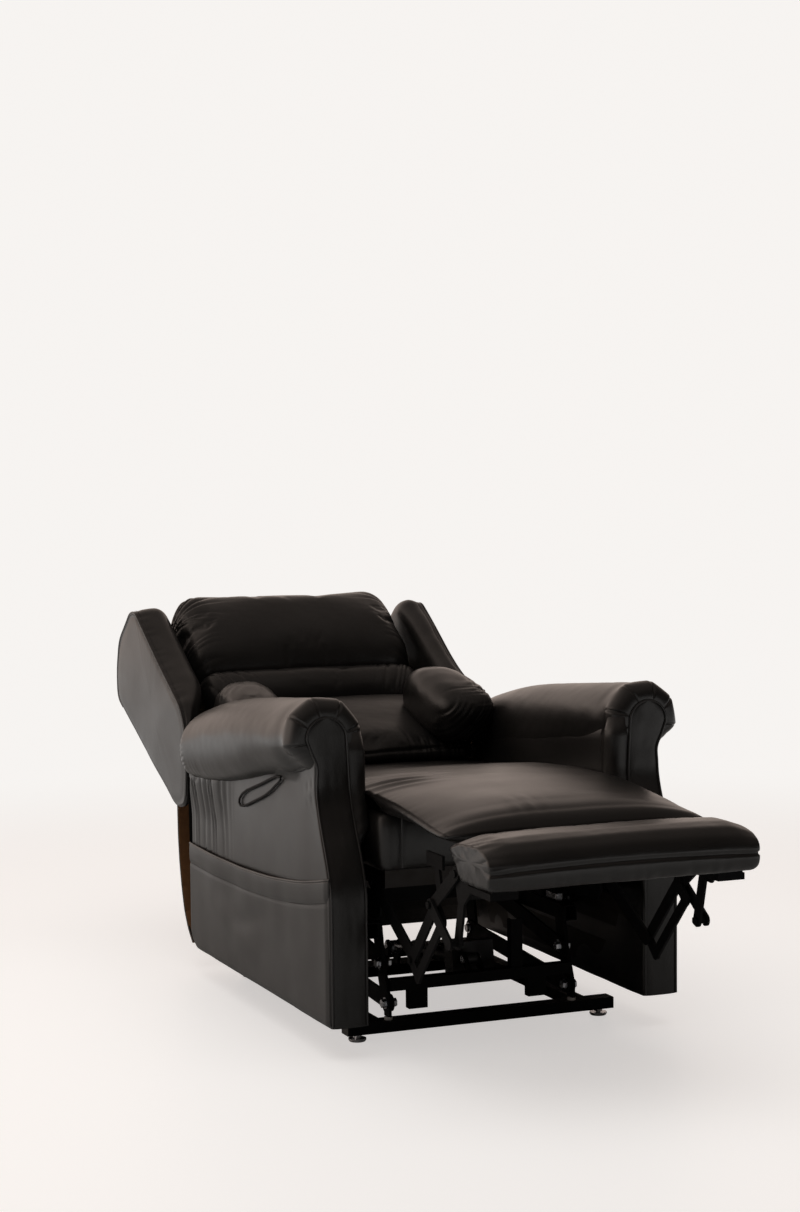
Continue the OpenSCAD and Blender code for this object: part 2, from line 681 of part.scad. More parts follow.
border_front_y = -111;
module seat_border() place() color(leather) difference() {
  hull() for (x = [-seat_w / 2 + 14, seat_w / 2 - 14]) {
    translate([x, border_front_y + 14, seat_rail_z + seat_rail_h]) cylinder(r = 14, h = pad_z - seat_rail_z - seat_rail_h, $fn = soft);
    translate([x - 14, 440, seat_rail_z + seat_rail_h]) cube([28, 10, pad_z - seat_rail_z - seat_rail_h]);
  }
  translate([-seat_w / 2 + border_t, seat_front_y, 0]) cube([seat_w - 2 * border_t, 700, 1000]);
  translate([-mech_x - 0.5, seat_front_y, 0]) cube([2 * mech_x + 1, 700, core_z]);
}

// Seat pad: crowned across, lower at the rear where the back cushion turns over it
crown = 22;
module seat_pad() place() color(leather) hull() {
  translate([-seat_w / 2, -111.5, pad_z]) cube([seat_w, 1, pad_t - 0.5]);
  translate([-seat_w / 2, 400, pad_z]) cube([seat_w, 100, pad_t - 6]);
  translate([-seat_w / 2 + 30, 561, pad_z]) cube([seat_w - 60, 1, 14]);
  translate([-seat_w / 4, 120, pad_z]) cube([seat_w / 2, 260, pad_t + crown]);
}

// ---------- footrest ----------
flap_top = [[-112, seat_edge_z], [-240, 462], [-398, 446]];
flap_low_z = 405;
bevel_gap = 0.3;
module crowned(w, rise) hull() {
  side(-w / 2, w) children();
  translate([0, 0, rise]) side(-w / 4, w / 2) children();
}
module flap_pad_upper() place() color(leather) crowned(seat_w, 14)
  polygon([flap_top[0] + [-bevel_gap, 0], [-176, flap_low_z], [-198, flap_low_z], flap_top[1] + [bevel_gap, 0]]);
module flap_pad_lower() place() color(leather) crowned(seat_w, 14)
  polygon([flap_top[1] + [-bevel_gap, 0], [-282, flap_low_z], [-362, flap_low_z + 8], [-374, 428],
    [-370, 445]]);
arm_low = [-333, 347];
module flap_arms() place() {
  color(steel) both(crank_x, foot_link_t) difference() {
    union() {
      bar([-320, 394], arm_low, 20);
      translate([-350, 380]) square([70, flap_low_z - 380]);
    }
    hole(arm_low, foot_bolt_d);
  }
  color(zinc) for (s = [-1, 1]) mirror([s < 0 ? 1 : 0, 0, 0])
    pin(arm_low, crank_x, foot_link_t, foot_bolt_d - 2 * bore_gap);
}

board_outline = [[-578, 384], [-474, 380], [-474, 392], [-578, 396]];
module footrest_board() place() color(timber) side(-235, 470) polygon(board_outline);
module footrest_pad() place() color(leather) difference() {
  hull() {
    side(-seat_w / 2, seat_w) polygon([[-foot_front + 4, 386], [-foot_front, 412], [-foot_front + 10, 440],
      [-560, 452], [-440, 446], [-424, 436], [-462, 380]]);
    side(-seat_w / 4, seat_w / 2) polygon([[-foot_front + 2, 400], [-570, 468], [-520, 478], [-436, 462]]);
  }
  side(-235, 470) polygon([[-578, 300], [-578, 396], [-474, 392], [-474, 300]]);
}
module footrest_brackets() place() {
  color(steel) {
    both(long_x, foot_link_t) difference() {
      union() {
        polygon([[-560, 374], [-474, 374], [-450, 386], [-414, 394], [-416, 376], [-426, 340], [-452, 338],
          [-480, 362], [-560, 362]]);
        hull() for (p = [bracket_pivot, drop_pivot]) translate(p) circle(d = foot_link_w, $fn = fine);
      }
      hole(bracket_pivot, foot_bolt_d);
      hole(drop_pivot, foot_bolt_d);
    }
    for (s = [-1, 1]) translate([s > 0 ? 190 : -long_x - foot_link_t, -560, 362]) cube([long_x + foot_link_t - 190, 86, 4]);
    for (s = [-1, 1]) side(s > 0 ? 190 : -long_x - 1, long_x + 1 - 190)
      polygon([[-560, 362], [-474, 362], [-474, 380], [-560, 383.3]]);
  }
  color(zinc) for (s = [-1, 1]) mirror([s < 0 ? 1 : 0, 0, 0]) {
    pin(bracket_pivot, long_x, 2 * foot_link_t + 1.2, foot_bolt_d - 2 * bore_gap);
    hex_head(bracket_pivot, long_x + 2 * foot_link_t + 1.2, 3, 14);
    pin(drop_pivot, crank_x - 0.6, 2 * foot_link_t + 1.2, foot_bolt_d - 2 * bore_gap);
    hex_head(drop_pivot, crank_x - 4.6, 4, 14);
  }
}
module footrest_cranks() place() {
  color(steel) both(crank_x, foot_link_t) difference() {
    bar(crank_pivot, crank_end, foot_link_w + 4);
    hole(crank_pivot, foot_bolt_d + 2 * bore_gap);
    hole(crank_end, foot_bolt_d);
  }
  color(zinc) for (s = [-1, 1]) mirror([s < 0 ? 1 : 0, 0, 0]) {
    pin(crank_end, crank_x, 2 * foot_link_t + 1.2, foot_bolt_d - 2 * bore_gap);
    hex_head(crank_end, crank_x + 2 * foot_link_t + 1.2, 4, 14);
  }
}
module footrest_long_links() place() {
  color(steel) both(long_x, foot_link_t) difference() {
    union() {
      bar(crank_end, long_end, foot_link_w);
      bar(crank_end + slot_step, long_end + slot_step, foot_link_w - 4);
      bar(crank_end, crank_end + slot_step, foot_link_w - 2);
      bar(long_end, long_end + slot_step, foot_link_w - 2);
    }
    hole(crank_end, foot_bolt_d + 2 * bore_gap);
    hole(long_end, foot_bolt_d);
  }
  color(zinc) for (s = [-1, 1]) mirror([s < 0 ? 1 : 0, 0, 0]) {
    pin(long_end, long_x, knee_x + foot_link_t + 0.6 - long_x, foot_bolt_d - 2 * bore_gap);
    hex_head(long_end, knee_x + foot_link_t + 0.6, 3.5, 14);
  }
}
link_open_gap = 2;
module footrest_front_links() place() color(steel) both(front_x, foot_link_t) difference() {
  bar(long_end, bracket_pivot, foot_link_w);
  hole(long_end, foot_bolt_d + 2 * bore_gap);
  hole(bracket_pivot, foot_bolt_d + 2 * link_open_gap);
}
knee_spacer_d = 12;
module knee_struts() place() {
  color(steel) both(knee_x, foot_link_t) difference() {
    bar(long_end, knee, foot_link_w - 2);
    hole(long_end, foot_bolt_d + 2 * bore_gap);
    hole(knee, foot_bolt_d);
  }
  color(zinc) for (s = [-1, 1]) mirror([s < 0 ? 1 : 0, 0, 0]) {
    pin(knee, crank_x - 0.6, knee_x + foot_link_t - crank_x + 0.6, foot_bolt_d - 2 * bore_gap);
    pin(knee, crank_x + foot_link_t + 0.6, knee_x - crank_x - foot_link_t - 0.6, knee_spacer_d);
    hex_head(knee, crank_x - 4.6, 4, 16);
  }
}
drop_open_gap = 2;
module drop_links() place() color(steel) both(crank_x, foot_link_t) difference() {
  bar(drop_pivot, knee, foot_link_w - 1);
  hole(drop_pivot, foot_bolt_d + 2 * bore_gap);
  hole(knee, foot_bolt_d + 2 * drop_open_gap);
}

// ---------- back ----------
board_v = 42;
board_t = 18;
cushion_v = board_v + board_t;
board_u = 32;
module back_board() place() color(timber) on_back(-wing_in_x, 2 * wing_in_x)
  polygon([[board_u, board_v], [470, board_v], [470, cushion_v], [board_u, cushion_v]]);

bracket_x = mech_x - plane_step;
module back_brackets() place() {
  board_foot = back_at(30, board_v - 22);
  board_top = back_at(400, board_v - 13.5);
  color(steel) {
    both(bracket_x, foot_link_t) difference() {
      union() {
        bar(back_pivot, board_foot, 26);
        bar(board_foot, board_top, 26);
        bar(back_pivot, back_rod_pivot, 30);
      }
      hole(back_pivot, bolt_d + 2 * bore_gap);
    }
    // cross tube that the back rod pushes
    difference() {
      pin(back_rod_pivot, -bracket_x - 0.5, 2 * bracket_x + 1, 22);
      translate([back_motor_x - eye_t / 2 - eye_gap, back_rod_pivot[0] - 30, back_rod_pivot[1] - 30])
        cube([eye_t + 2 * eye_gap, 60, 60]);
    }
  }
  color(zinc) pin(back_rod_pivot, back_motor_x - eye_t, 2 * eye_t, pin_d - 2 * bore_gap);
}

module wing_at(x) place() color(leather) on_back(x, wing_t) polygon(wing_outline);
module wing_left() wing_at(-wing_x);
module wing_right() wing_at(wing_in_x);

module padded(outline, rise) place() color(leather) hull() {
  on_back(-cushion_w / 2, cushion_w) polygon(outline);
  on_back(-cushion_w / 2 + 60, cushion_w - 120) translate([0, rise]) polygon(outline);
}
seam = 1;
module head_cushion() padded([[268 + seam, cushion_v], [268 + seam, 170], [300, 218], [380, 232], [470, 228],
  [500, 190], [504, 130], [480, cushion_v]], 12);
module lumbar_cushion() padded([[162 + seam, cushion_v], [162 + seam, 150], [190, 178], [240, 182], [268 - seam, 164],
  [268 - seam, cushion_v]], 10);
module lower_cushion() padded([[board_u, cushion_v], [board_u - 8, 94], [-100, 146], [-102, 190], [-60, 200], [120, 170],
  [162 - seam, 144], [162 - seam, cushion_v]], 6);

bolster_in_x = 192;
module bolster(x) place() color(leather) hull() {
  for (b = [[-70, 257, 50], [12, 251, 48]]) {
    c = back_at(b[0], b[1]);
    translate([x, c[0], c[1]]) sphere(r = b[2], $fn = soft);
  }
}
module bolster_left() bolster(-bolster_in_x);
module bolster_right() bolster(bolster_in_x);

module outside_back() place() color(leather) on_back(-wing_in_x + 0.5, 2 * wing_in_x - 1)
  polygon([[10, -4], [480, -10], [480, -2], [10, 4]]);

skirt_t = 4;
skirt_half_w = 340;
skirt_top = back_at(72, -6.9);
skirt_line = [skirt_top, [853, 330], [851, 276], [844, 222], [831, 168], [813, 117], [789, 82], [759, 57]];
module skirt_sheet(y0, y1) {
  n = len(skirt_line);
  side(-skirt_half_w, 2 * skirt_half_w) polygon(concat([for (p = skirt_line) p + [y1, 0]],
    [for (i = [n - 1:-1:0]) skirt_line[i] + [y0, 0]]));
}
module rear_skirt() place() color(leather) skirt_sheet(0, skirt_t);
module skirt_board() place() color([0.35, 0.2, 0.12]) skirt_sheet(-skirt_t, 0);

floor_frame();
tube_end_caps();
levelling_feet();
rest_bumpers();
floor_pivot_bolts();
lower_lift_link_left();
lower_lift_link_right();
upper_lift_link_left();
upper_lift_link_right();
lift_frame();
lift_crossbar();
lift_frame_bolts();
seat_slide_rails();
control_box();
arm_frame_left();
arm_frame_right();
arm_left();
arm_right();
arm_facings();
side_pocket();
pull_loop();
handset();
button_recline();
button_upright();
button_lift();
button_lower();
lift_motor();
lift_rod();
mechanism_plates();
carriage_cross();
seat_frame();
seat_springs();
seat_core();
seat_border();
seat_pad();
back_motor();
back_rod();
flap_pad_upper();
flap_pad_lower();
flap_arms();
footrest_pad();
footrest_board();
footrest_brackets();
footrest_cranks();
footrest_long_links();
footrest_front_links();
knee_struts();
drop_links();
back_board();
back_brackets();
wing_left();
wing_right();
head_cushion();
lumbar_cushion();
lower_cushion();
bolster_left();
bolster_right();
outside_back();
rear_skirt();
skirt_board();
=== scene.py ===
import json
import math

import bmesh
import bpy
import numpy as np
from mathutils import Matrix, Vector


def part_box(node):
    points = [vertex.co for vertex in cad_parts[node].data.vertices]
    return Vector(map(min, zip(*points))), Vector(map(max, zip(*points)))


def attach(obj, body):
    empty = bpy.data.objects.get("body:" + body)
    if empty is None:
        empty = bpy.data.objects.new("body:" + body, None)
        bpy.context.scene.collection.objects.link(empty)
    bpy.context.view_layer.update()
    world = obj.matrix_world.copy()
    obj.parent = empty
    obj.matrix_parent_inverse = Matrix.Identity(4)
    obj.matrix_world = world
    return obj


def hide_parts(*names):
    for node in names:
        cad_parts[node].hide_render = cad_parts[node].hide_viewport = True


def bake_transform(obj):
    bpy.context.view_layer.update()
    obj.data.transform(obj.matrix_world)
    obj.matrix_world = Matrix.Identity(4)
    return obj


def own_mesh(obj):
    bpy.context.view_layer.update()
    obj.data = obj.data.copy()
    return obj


# A lift recliner chair, in millimetres with y = 0 at the front floor tube;
# inMetres() carries the points to the shared frame.
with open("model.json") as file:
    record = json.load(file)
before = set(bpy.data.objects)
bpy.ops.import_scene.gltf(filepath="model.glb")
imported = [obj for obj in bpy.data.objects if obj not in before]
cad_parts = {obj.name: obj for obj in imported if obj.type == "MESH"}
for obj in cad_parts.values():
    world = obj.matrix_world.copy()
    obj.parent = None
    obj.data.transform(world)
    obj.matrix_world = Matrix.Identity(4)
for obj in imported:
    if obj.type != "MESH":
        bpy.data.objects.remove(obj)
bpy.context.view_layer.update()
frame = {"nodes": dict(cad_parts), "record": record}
cadNodes = frame["nodes"]
midY = 322.307
print("frame loaded:", len(cadNodes), "nodes")


def inMetres(points):
    p = np.asarray(points, float)
    return np.stack([p[..., 0], p[..., 1] - midY, p[..., 2]], -1) / 1000


def ease(t):
    t = np.clip(t, 0, 1)
    return t * t * (3 - 2 * t)


def ramp(x, a, b):
    return ease((np.asarray(x, float) - a) / (b - a))


def curveThrough(knots, x):
    # smooth value at x through (position, value) knots
    k = np.asarray(knots, float)
    xs, ys = k[:, 0], k[:, 1]
    slope = np.gradient(ys, xs)
    x = np.clip(np.asarray(x, float), xs[0], xs[-1])
    i = np.clip(np.searchsorted(xs, x) - 1, 0, len(xs) - 2)
    h = xs[i + 1] - xs[i]
    t = (x - xs[i]) / h
    return ((2 * t**3 - 3 * t**2 + 1) * ys[i] + (t**3 - 2 * t**2 + t) * h * slope[i]
            + (-2 * t**3 + 3 * t**2) * ys[i + 1] + (t**3 - t**2) * h * slope[i + 1])


def drift(points, size, seed, octaves=3):
    # soft unevenness from about -1 to 1, features size mm across
    rng = np.random.RandomState(seed)
    total, amount, norm = np.zeros(points.shape[:-1]), 1.0, 0.0
    for _ in range(octaves):
        for _ in range(5):
            direction = rng.normal(size=3)
            direction /= np.linalg.norm(direction)
            total += amount * np.sin(points @ direction * 2 * math.pi / size + rng.uniform(0, 6.28))
        norm += amount * 2.2
        size *= 0.53
        amount *= 0.55
    return total / norm


def pleats(s, spacing, seed):
    # rounded bulges with sharp valleys, about spacing mm apart, from 0 to 1
    rng = np.random.RandomState(seed)
    a, b, c = rng.uniform(0, 6.28, 3)
    s = np.asarray(s, float)
    phase = s / spacing + 0.32 * np.sin(s / spacing * 1.7 + a) + 0.18 * np.sin(s / spacing * 3.1 + b)
    return np.abs(np.sin(math.pi * phase + c)) ** 0.8


def hump(x, width):
    return np.exp(-(x / width) ** 2)


def arch(t):
    return np.sin(math.pi * np.clip(t, 0, 1))


def addToScene(item):
    bpy.context.scene.collection.objects.link(item)
    return item


def makePiece(name, points, faces, smooth=True):
    mesh = bpy.data.meshes.new(name)
    mesh.from_pydata(inMetres(points).tolist(), [], [list(map(int, f)) for f in faces])
    mesh.validate()
    mesh.polygons.foreach_set("use_smooth", [smooth] * len(mesh.polygons))
    mesh.update()
    return addToScene(bpy.data.objects.new(name, mesh))


def gridFaces(rows, cols, wrapCols=False, first=0):
    c = cols if wrapCols else cols - 1
    i, j = np.meshgrid(np.arange(rows - 1), np.arange(c), indexing="ij")
    k = (j + 1) % cols
    return (first + np.stack([i * cols + j, i * cols + k, (i + 1) * cols + k, (i + 1) * cols + j],
                             -1)).reshape(-1, 4).tolist()


def loftPiece(name, rings, capFirst=True, capLast=True):
    # closed rings joined in order; each end closes on a pole
    rings = np.asarray(rings, float)
    rows, cols = rings.shape[:2]
    points = rings.reshape(-1, 3)
    faces = gridFaces(rows, cols, True)
    if capFirst:
        faces += [[(j + 1) % cols, j, len(points)] for j in range(cols)]
        points = np.vstack([points, rings[0].mean(0)])
    if capLast:
        base = (rows - 1) * cols
        faces += [[base + j, base + (j + 1) % cols, len(points)] for j in range(cols)]
        points = np.vstack([points, rings[-1].mean(0)])
    piece = makePiece(name, points, faces)
    pointOutwards(piece)
    return piece


def makeShell(name, outer, inner):
    # two sheets of one grid, joined round their rim
    rows, cols = outer.shape[:2]
    faces = gridFaces(rows, cols) + [f[::-1] for f in gridFaces(rows, cols, first=rows * cols)]
    rim = [i * cols for i in range(rows)] + [(rows - 1) * cols + j for j in range(1, cols)]
    rim += [i * cols + cols - 1 for i in range(rows - 2, -1, -1)] + [j for j in range(cols - 2, 0, -1)]
    for a, b in zip(rim, rim[1:] + rim[:1]):
        faces.append([a, b, b + rows * cols, a + rows * cols])
    piece = makePiece(name, np.vstack([outer.reshape(-1, 3), inner.reshape(-1, 3)]), faces)
    pointOutwards(piece)
    return piece


def pointOutwards(piece):
    bm = bmesh.new()
    bm.from_mesh(piece.data)
    bmesh.ops.recalc_face_normals(bm, faces=bm.faces)
    bm.to_mesh(piece.data)
    bm.free()


def meshPoints(piece):
    co = np.zeros(len(piece.data.vertices) * 3)
    piece.data.vertices.foreach_get("co", co)
    p = co.reshape(-1, 3) * 1000
    p[:, 1] += midY
    return p


def setPoints(piece, p):
    piece.data.vertices.foreach_set("co", inMetres(p).ravel())
    piece.data.update()


def normalsOf(piece):
    n = np.zeros(len(piece.data.vertices) * 3)
    piece.data.vertices.foreach_get("normal", n)
    return n.reshape(-1, 3)


def toOtherSide(piece):
    p = meshPoints(piece)
    p[:, 0] *= -1
    setPoints(piece, p)
    piece.data.flip_normals()


def applied(piece):
    # the evaluated mesh as a plain mesh, modifiers removed
    graph = bpy.context.evaluated_depsgraph_get()
    mesh = bpy.data.meshes.new_from_object(piece.evaluated_get(graph))
    old = piece.data
    piece.modifiers.clear()
    piece.data = mesh
    mesh.name = piece.name
    if old.users == 0:
        bpy.data.meshes.remove(old)
    return piece


# the slope of the back: u runs up it, v stands out of it
tip = (787.0, 345.0)
slope = math.radians(26)


def onBack(u, v):
    u, v = np.asarray(u, float), np.asarray(v, float)
    return (tip[0] + u * math.cos(slope) - v * math.sin(slope),
            tip[1] + u * math.sin(slope) + v * math.cos(slope))


def backPoints(x, u, v):
    y, z = onBack(u, v)
    return np.stack(np.broadcast_arrays(np.asarray(x, float), y, z), -1)


def backUV(p):
    dy, dz = p[:, 1] - tip[0], p[:, 2] - tip[1]
    return dy * math.cos(slope) + dz * math.sin(slope), -dy * math.sin(slope) + dz * math.cos(slope)


def evenly(p, count, closed=False):
    p = np.asarray(p, float)
    q = np.vstack([p, p[:1]]) if closed else p
    d = np.r_[0, np.cumsum(np.linalg.norm(np.diff(q, axis=0), axis=1))]
    s = np.linspace(0, d[-1], count + 1)[:-1] if closed else np.linspace(0, d[-1], count)
    return np.stack([np.interp(s, d, q[:, k]) for k in range(q.shape[1])], -1)


def closedCurve(corners, count):
    # corners rounded by repeated corner cutting, then spaced evenly
    p = np.asarray(corners, float)
    for _ in range(3):
        q = np.roll(p, -1, 0)
        p = np.stack([p * 0.75 + q * 0.25, p * 0.25 + q * 0.75], 1).reshape(-1, p.shape[1])
    return evenly(p, count, True)


def placeCamera():
    look = {"focal": 71.38, "yaw": 22.5603, "pitch": 3.6953, "roll": -0.0093052,
            "at": (-1.88396, -4.45760, 1.10716), "farthest": 60}
    yaw, pitch = math.radians(look["yaw"]), math.radians(look["pitch"])
    ahead = Vector((math.sin(yaw) * math.cos(pitch), math.cos(yaw) * math.cos(pitch), -math.sin(pitch)))
    right = Vector((math.cos(yaw), -math.sin(yaw), 0))
    up = right.cross(ahead)
    c, s = math.cos(look["roll"]), math.sin(look["roll"])
    right, up = right * c + up * s, up * c - right * s
    camera = addToScene(bpy.data.objects.new("camera", bpy.data.cameras.new("camera")))
    camera.data.sensor_width = 36
    camera.data.lens = look["focal"]
    camera.data.clip_end = look["farthest"]
    m = Matrix((right, up, -ahead)).transposed().to_4x4()
    m.translation = Vector(look["at"])
    camera.matrix_world = m
    bpy.context.scene.camera = camera


placeCamera()
print("camera placed")


def newGroup(name, inputs, outputs):
    tree = bpy.data.node_groups.new(name, "ShaderNodeTree")
    for n, value in inputs.items():
        tree.interface.new_socket(n, in_out="INPUT", socket_type="NodeSocketFloat").default_value = value
    for n in outputs:
        tree.interface.new_socket(n, in_out="OUTPUT", socket_type="NodeSocketFloat")
    return tree, tree.nodes.new("NodeGroupInput"), tree.nodes.new("NodeGroupOutput")


def addNode(tree, kind, **values):
    # each value is a property, a socket by its name, or a socket by its number, as in _1
    node = tree.nodes.new(kind if "Node" in kind else "ShaderNode" + kind)
    for k, v in values.items():
        if hasattr(node, k):
            setattr(node, k, v)
        elif k[0] == "_":
            node.inputs[int(k[1:])].default_value = v
        else:
            node.inputs[k.replace("_", " ")].default_value = v
    return node


def addMaths(tree, operation, **values):
    return addNode(tree, "Math", operation=operation, **values)


def setInputs(node, **values):
    for k, v in values.items():
        node.inputs[k.replace("_", " ")].default_value = v


def joinUp(tree, *links):
    for a, out, b, into in links:
        tree.links.new(a.outputs[out], b.inputs[into])


def lieOnObject(tree, *nodes):
    where = addNode(tree, "TexCoord")
    for node in nodes:
        joinUp(tree, (where, "Object", node, "Vector"))


def hideGroup():
    # grain, pores and creases of tanned hide as one height, with a mask of worn highs
    tree, given, told = newGroup(
        "hideGrain", {"Pebble size": 420.0, "Crease size": 26.0, "Pebble depth": 0.5, "Crease depth": 0.6},
        ("Height", "Worn", "Cloud"))
    cells = addNode(tree, "TexVoronoi", feature="SMOOTH_F1", Smoothness=0.6, Randomness=0.9)
    fine = addNode(tree, "TexNoise", Detail=3)
    creases = addNode(tree, "TexNoise", noise_type="RIDGED_MULTIFRACTAL", Detail=3)
    cloud = addNode(tree, "TexNoise", Scale=5, Detail=4)
    twice = addMaths(tree, "MULTIPLY", _1=2.1)
    pebble = addMaths(tree, "MULTIPLY")
    small = addMaths(tree, "MULTIPLY_ADD", _1=0.35)
    crease = addMaths(tree, "MULTIPLY_ADD")
    worn = addNode(tree, "MapRange", From_Min=0.35, From_Max=0.75)
    lieOnObject(tree, cells, fine, creases, cloud)
    joinUp(tree, (given, "Pebble size", cells, "Scale"), (given, "Pebble size", twice, 0),
           (twice, 0, fine, "Scale"), (given, "Crease size", creases, "Scale"),
           (cells, "Distance", pebble, 0), (given, "Pebble depth", pebble, 1),
           (fine, 0, small, 0), (pebble, 0, small, 2),
           (creases, 0, crease, 0), (given, "Crease depth", crease, 1),
           (small, 0, crease, 2), (crease, 0, told, "Height"),
           (cloud, 0, worn, "Value"), (worn, 0, told, "Worn"), (cloud, 0, told, "Cloud"))
    return tree


def mottleGroup():
    # uneven finish for paint, plating and plastics
    tree, given, told = newGroup(
        "finishMottle", {"Cloud size": 14.0, "Speck size": 700.0}, ("Cloud", "Specks", "Height"))
    cloud = addNode(tree, "TexNoise", Detail=5)
    specks = addNode(tree, "TexNoise", Detail=2)
    both = addMaths(tree, "MULTIPLY_ADD", _1=0.3)
    lieOnObject(tree, cloud, specks)
    joinUp(tree, (given, "Cloud size", cloud, "Scale"), (given, "Speck size", specks, "Scale"),
           (cloud, 0, told, "Cloud"), (specks, 0, told, "Specks"),
           (cloud, 0, both, 0), (specks, 0, both, 2), (both, 0, told, "Height"))
    return tree


hideGrain = hideGroup()
finishMottle = mottleGroup()


def startMaterial(name):
    material = bpy.data.materials.new(name)
    material.use_nodes = True
    tree = material.node_tree
    return material, tree, tree.nodes["Principled BSDF"]


def placeGroup(tree, group, **values):
    node = tree.nodes.new("ShaderNodeGroup")
    node.node_tree = group
    setInputs(node, **values)
    return node


def mixColours(tree, factor, a, b, out):
    mix = addNode(tree, "Mix", data_type="RGBA", _6=(*a, 1), _7=(*b, 1))
    tree.links.new(factor, mix.inputs[0])
    tree.links.new(mix.outputs[2], out)
    return mix


def mapTo(tree, value, low, high, out, fromLow=0.3, fromHigh=0.7):
    node = addNode(tree, "MapRange", From_Min=fromLow, From_Max=fromHigh, To_Min=low, To_Max=high)
    tree.links.new(value, node.inputs["Value"])
    tree.links.new(node.outputs[0], out)


def bumpFrom(tree, height, shader, strength, distance):
    bump = addNode(tree, "Bump", Strength=strength, Distance=distance)
    tree.links.new(height, bump.inputs["Height"])
    joinUp(tree, (bump, 0, shader, "Normal"))


def leatherMaterial(name, dark, pale, rough, grain=0.5, creases=0.5):
    material, tree, shader = startMaterial(name)
    hide = placeGroup(tree, hideGrain, Pebble_depth=grain, Crease_depth=creases)
    mixColours(tree, hide.outputs["Worn"], dark, pale, shader.inputs["Base Color"])
    mapTo(tree, hide.outputs["Cloud"], *rough, shader.inputs["Roughness"])
    bumpFrom(tree, hide.outputs["Height"], shader, 0.16, 0.0012)
    setInputs(shader, Specular_IOR_Level=0.5, Coat_Weight=0.12, Coat_Roughness=0.3)
    return material


def plainMaterial(name, dark, pale, rough, metallic=0.0, cloud=14.0, speck=700.0, strength=0.1, depth=0.0005):
    material, tree, shader = startMaterial(name)
    mottle = placeGroup(tree, finishMottle, Cloud_size=cloud, Speck_size=speck)
    mixColours(tree, mottle.outputs["Cloud"], dark, pale, shader.inputs["Base Color"])
    mapTo(tree, mottle.outputs["Cloud"], *rough, shader.inputs["Roughness"])
    bumpFrom(tree, mottle.outputs["Height"], shader, strength, depth)
    setInputs(shader, Metallic=metallic)
    return material


def woodMaterial(name, dark, pale, rings, rough):
    material, tree, shader = startMaterial(name)
    turned = addNode(tree, "Mapping", Scale=(rings, rings * 0.08, rings))
    grain = addNode(tree, "TexNoise", Scale=8, Detail=6)
    lieOnObject(tree, turned)
    joinUp(tree, (turned, 0, grain, "Vector"))
    mixColours(tree, grain.outputs[0], dark, pale, shader.inputs["Base Color"])
    mapTo(tree, grain.outputs[0], rough - 0.08, rough + 0.08, shader.inputs["Roughness"])
    bumpFrom(tree, grain.outputs[0], shader, 0.2, 0.0006)
    return material


def innerShadeBoard(name, dark, pale, paintedShade, reach):
    # a board painted dark on its inner part as shade, the painted shade stopping short of its two side edges
    material = woodMaterial(name, dark, pale, 14, 0.55)
    tree = material.node_tree
    colour = tree.nodes["Principled BSDF"].inputs["Base Color"]
    wood = colour.links[0].from_socket
    parts = addNode(tree, "SeparateXYZ")
    wide = addMaths(tree, "ABSOLUTE")
    edge = addNode(tree, "MapRange", From_Min=reach, From_Max=reach + 0.002)
    # painted shade: the inner part of the board is coloured near black to stand for the shadow on it
    mix = mixColours(tree, edge.outputs[0], paintedShade, paintedShade, colour)
    tree.links.new(wood, mix.inputs[7])
    lieOnObject(tree, parts)
    joinUp(tree, (parts, "X", wide, 0), (wide, 0, edge, "Value"))
    return material


def wovenMaterial(name, dark, pale, threads):
    material, tree, shader = startMaterial(name)
    waves = [addNode(tree, "TexWave", bands_direction=axis, Scale=threads) for axis in "XYZ"]
    lieOnObject(tree, *waves)
    two = addMaths(tree, "ADD")
    three = addMaths(tree, "MULTIPLY_ADD", _1=1.0)
    joinUp(tree, (waves[0], "Fac", two, 0), (waves[1], "Fac", two, 1), (two, 0, three, 0),
           (waves[2], "Fac", three, 2))
    mixColours(tree, waves[0].outputs["Fac"], dark, pale, shader.inputs["Base Color"])
    mapTo(tree, three.outputs[0], 0.7, 0.9, shader.inputs["Roughness"], 0, 3)
    bumpFrom(tree, three.outputs[0], shader, 0.4, 0.0006)
    return material


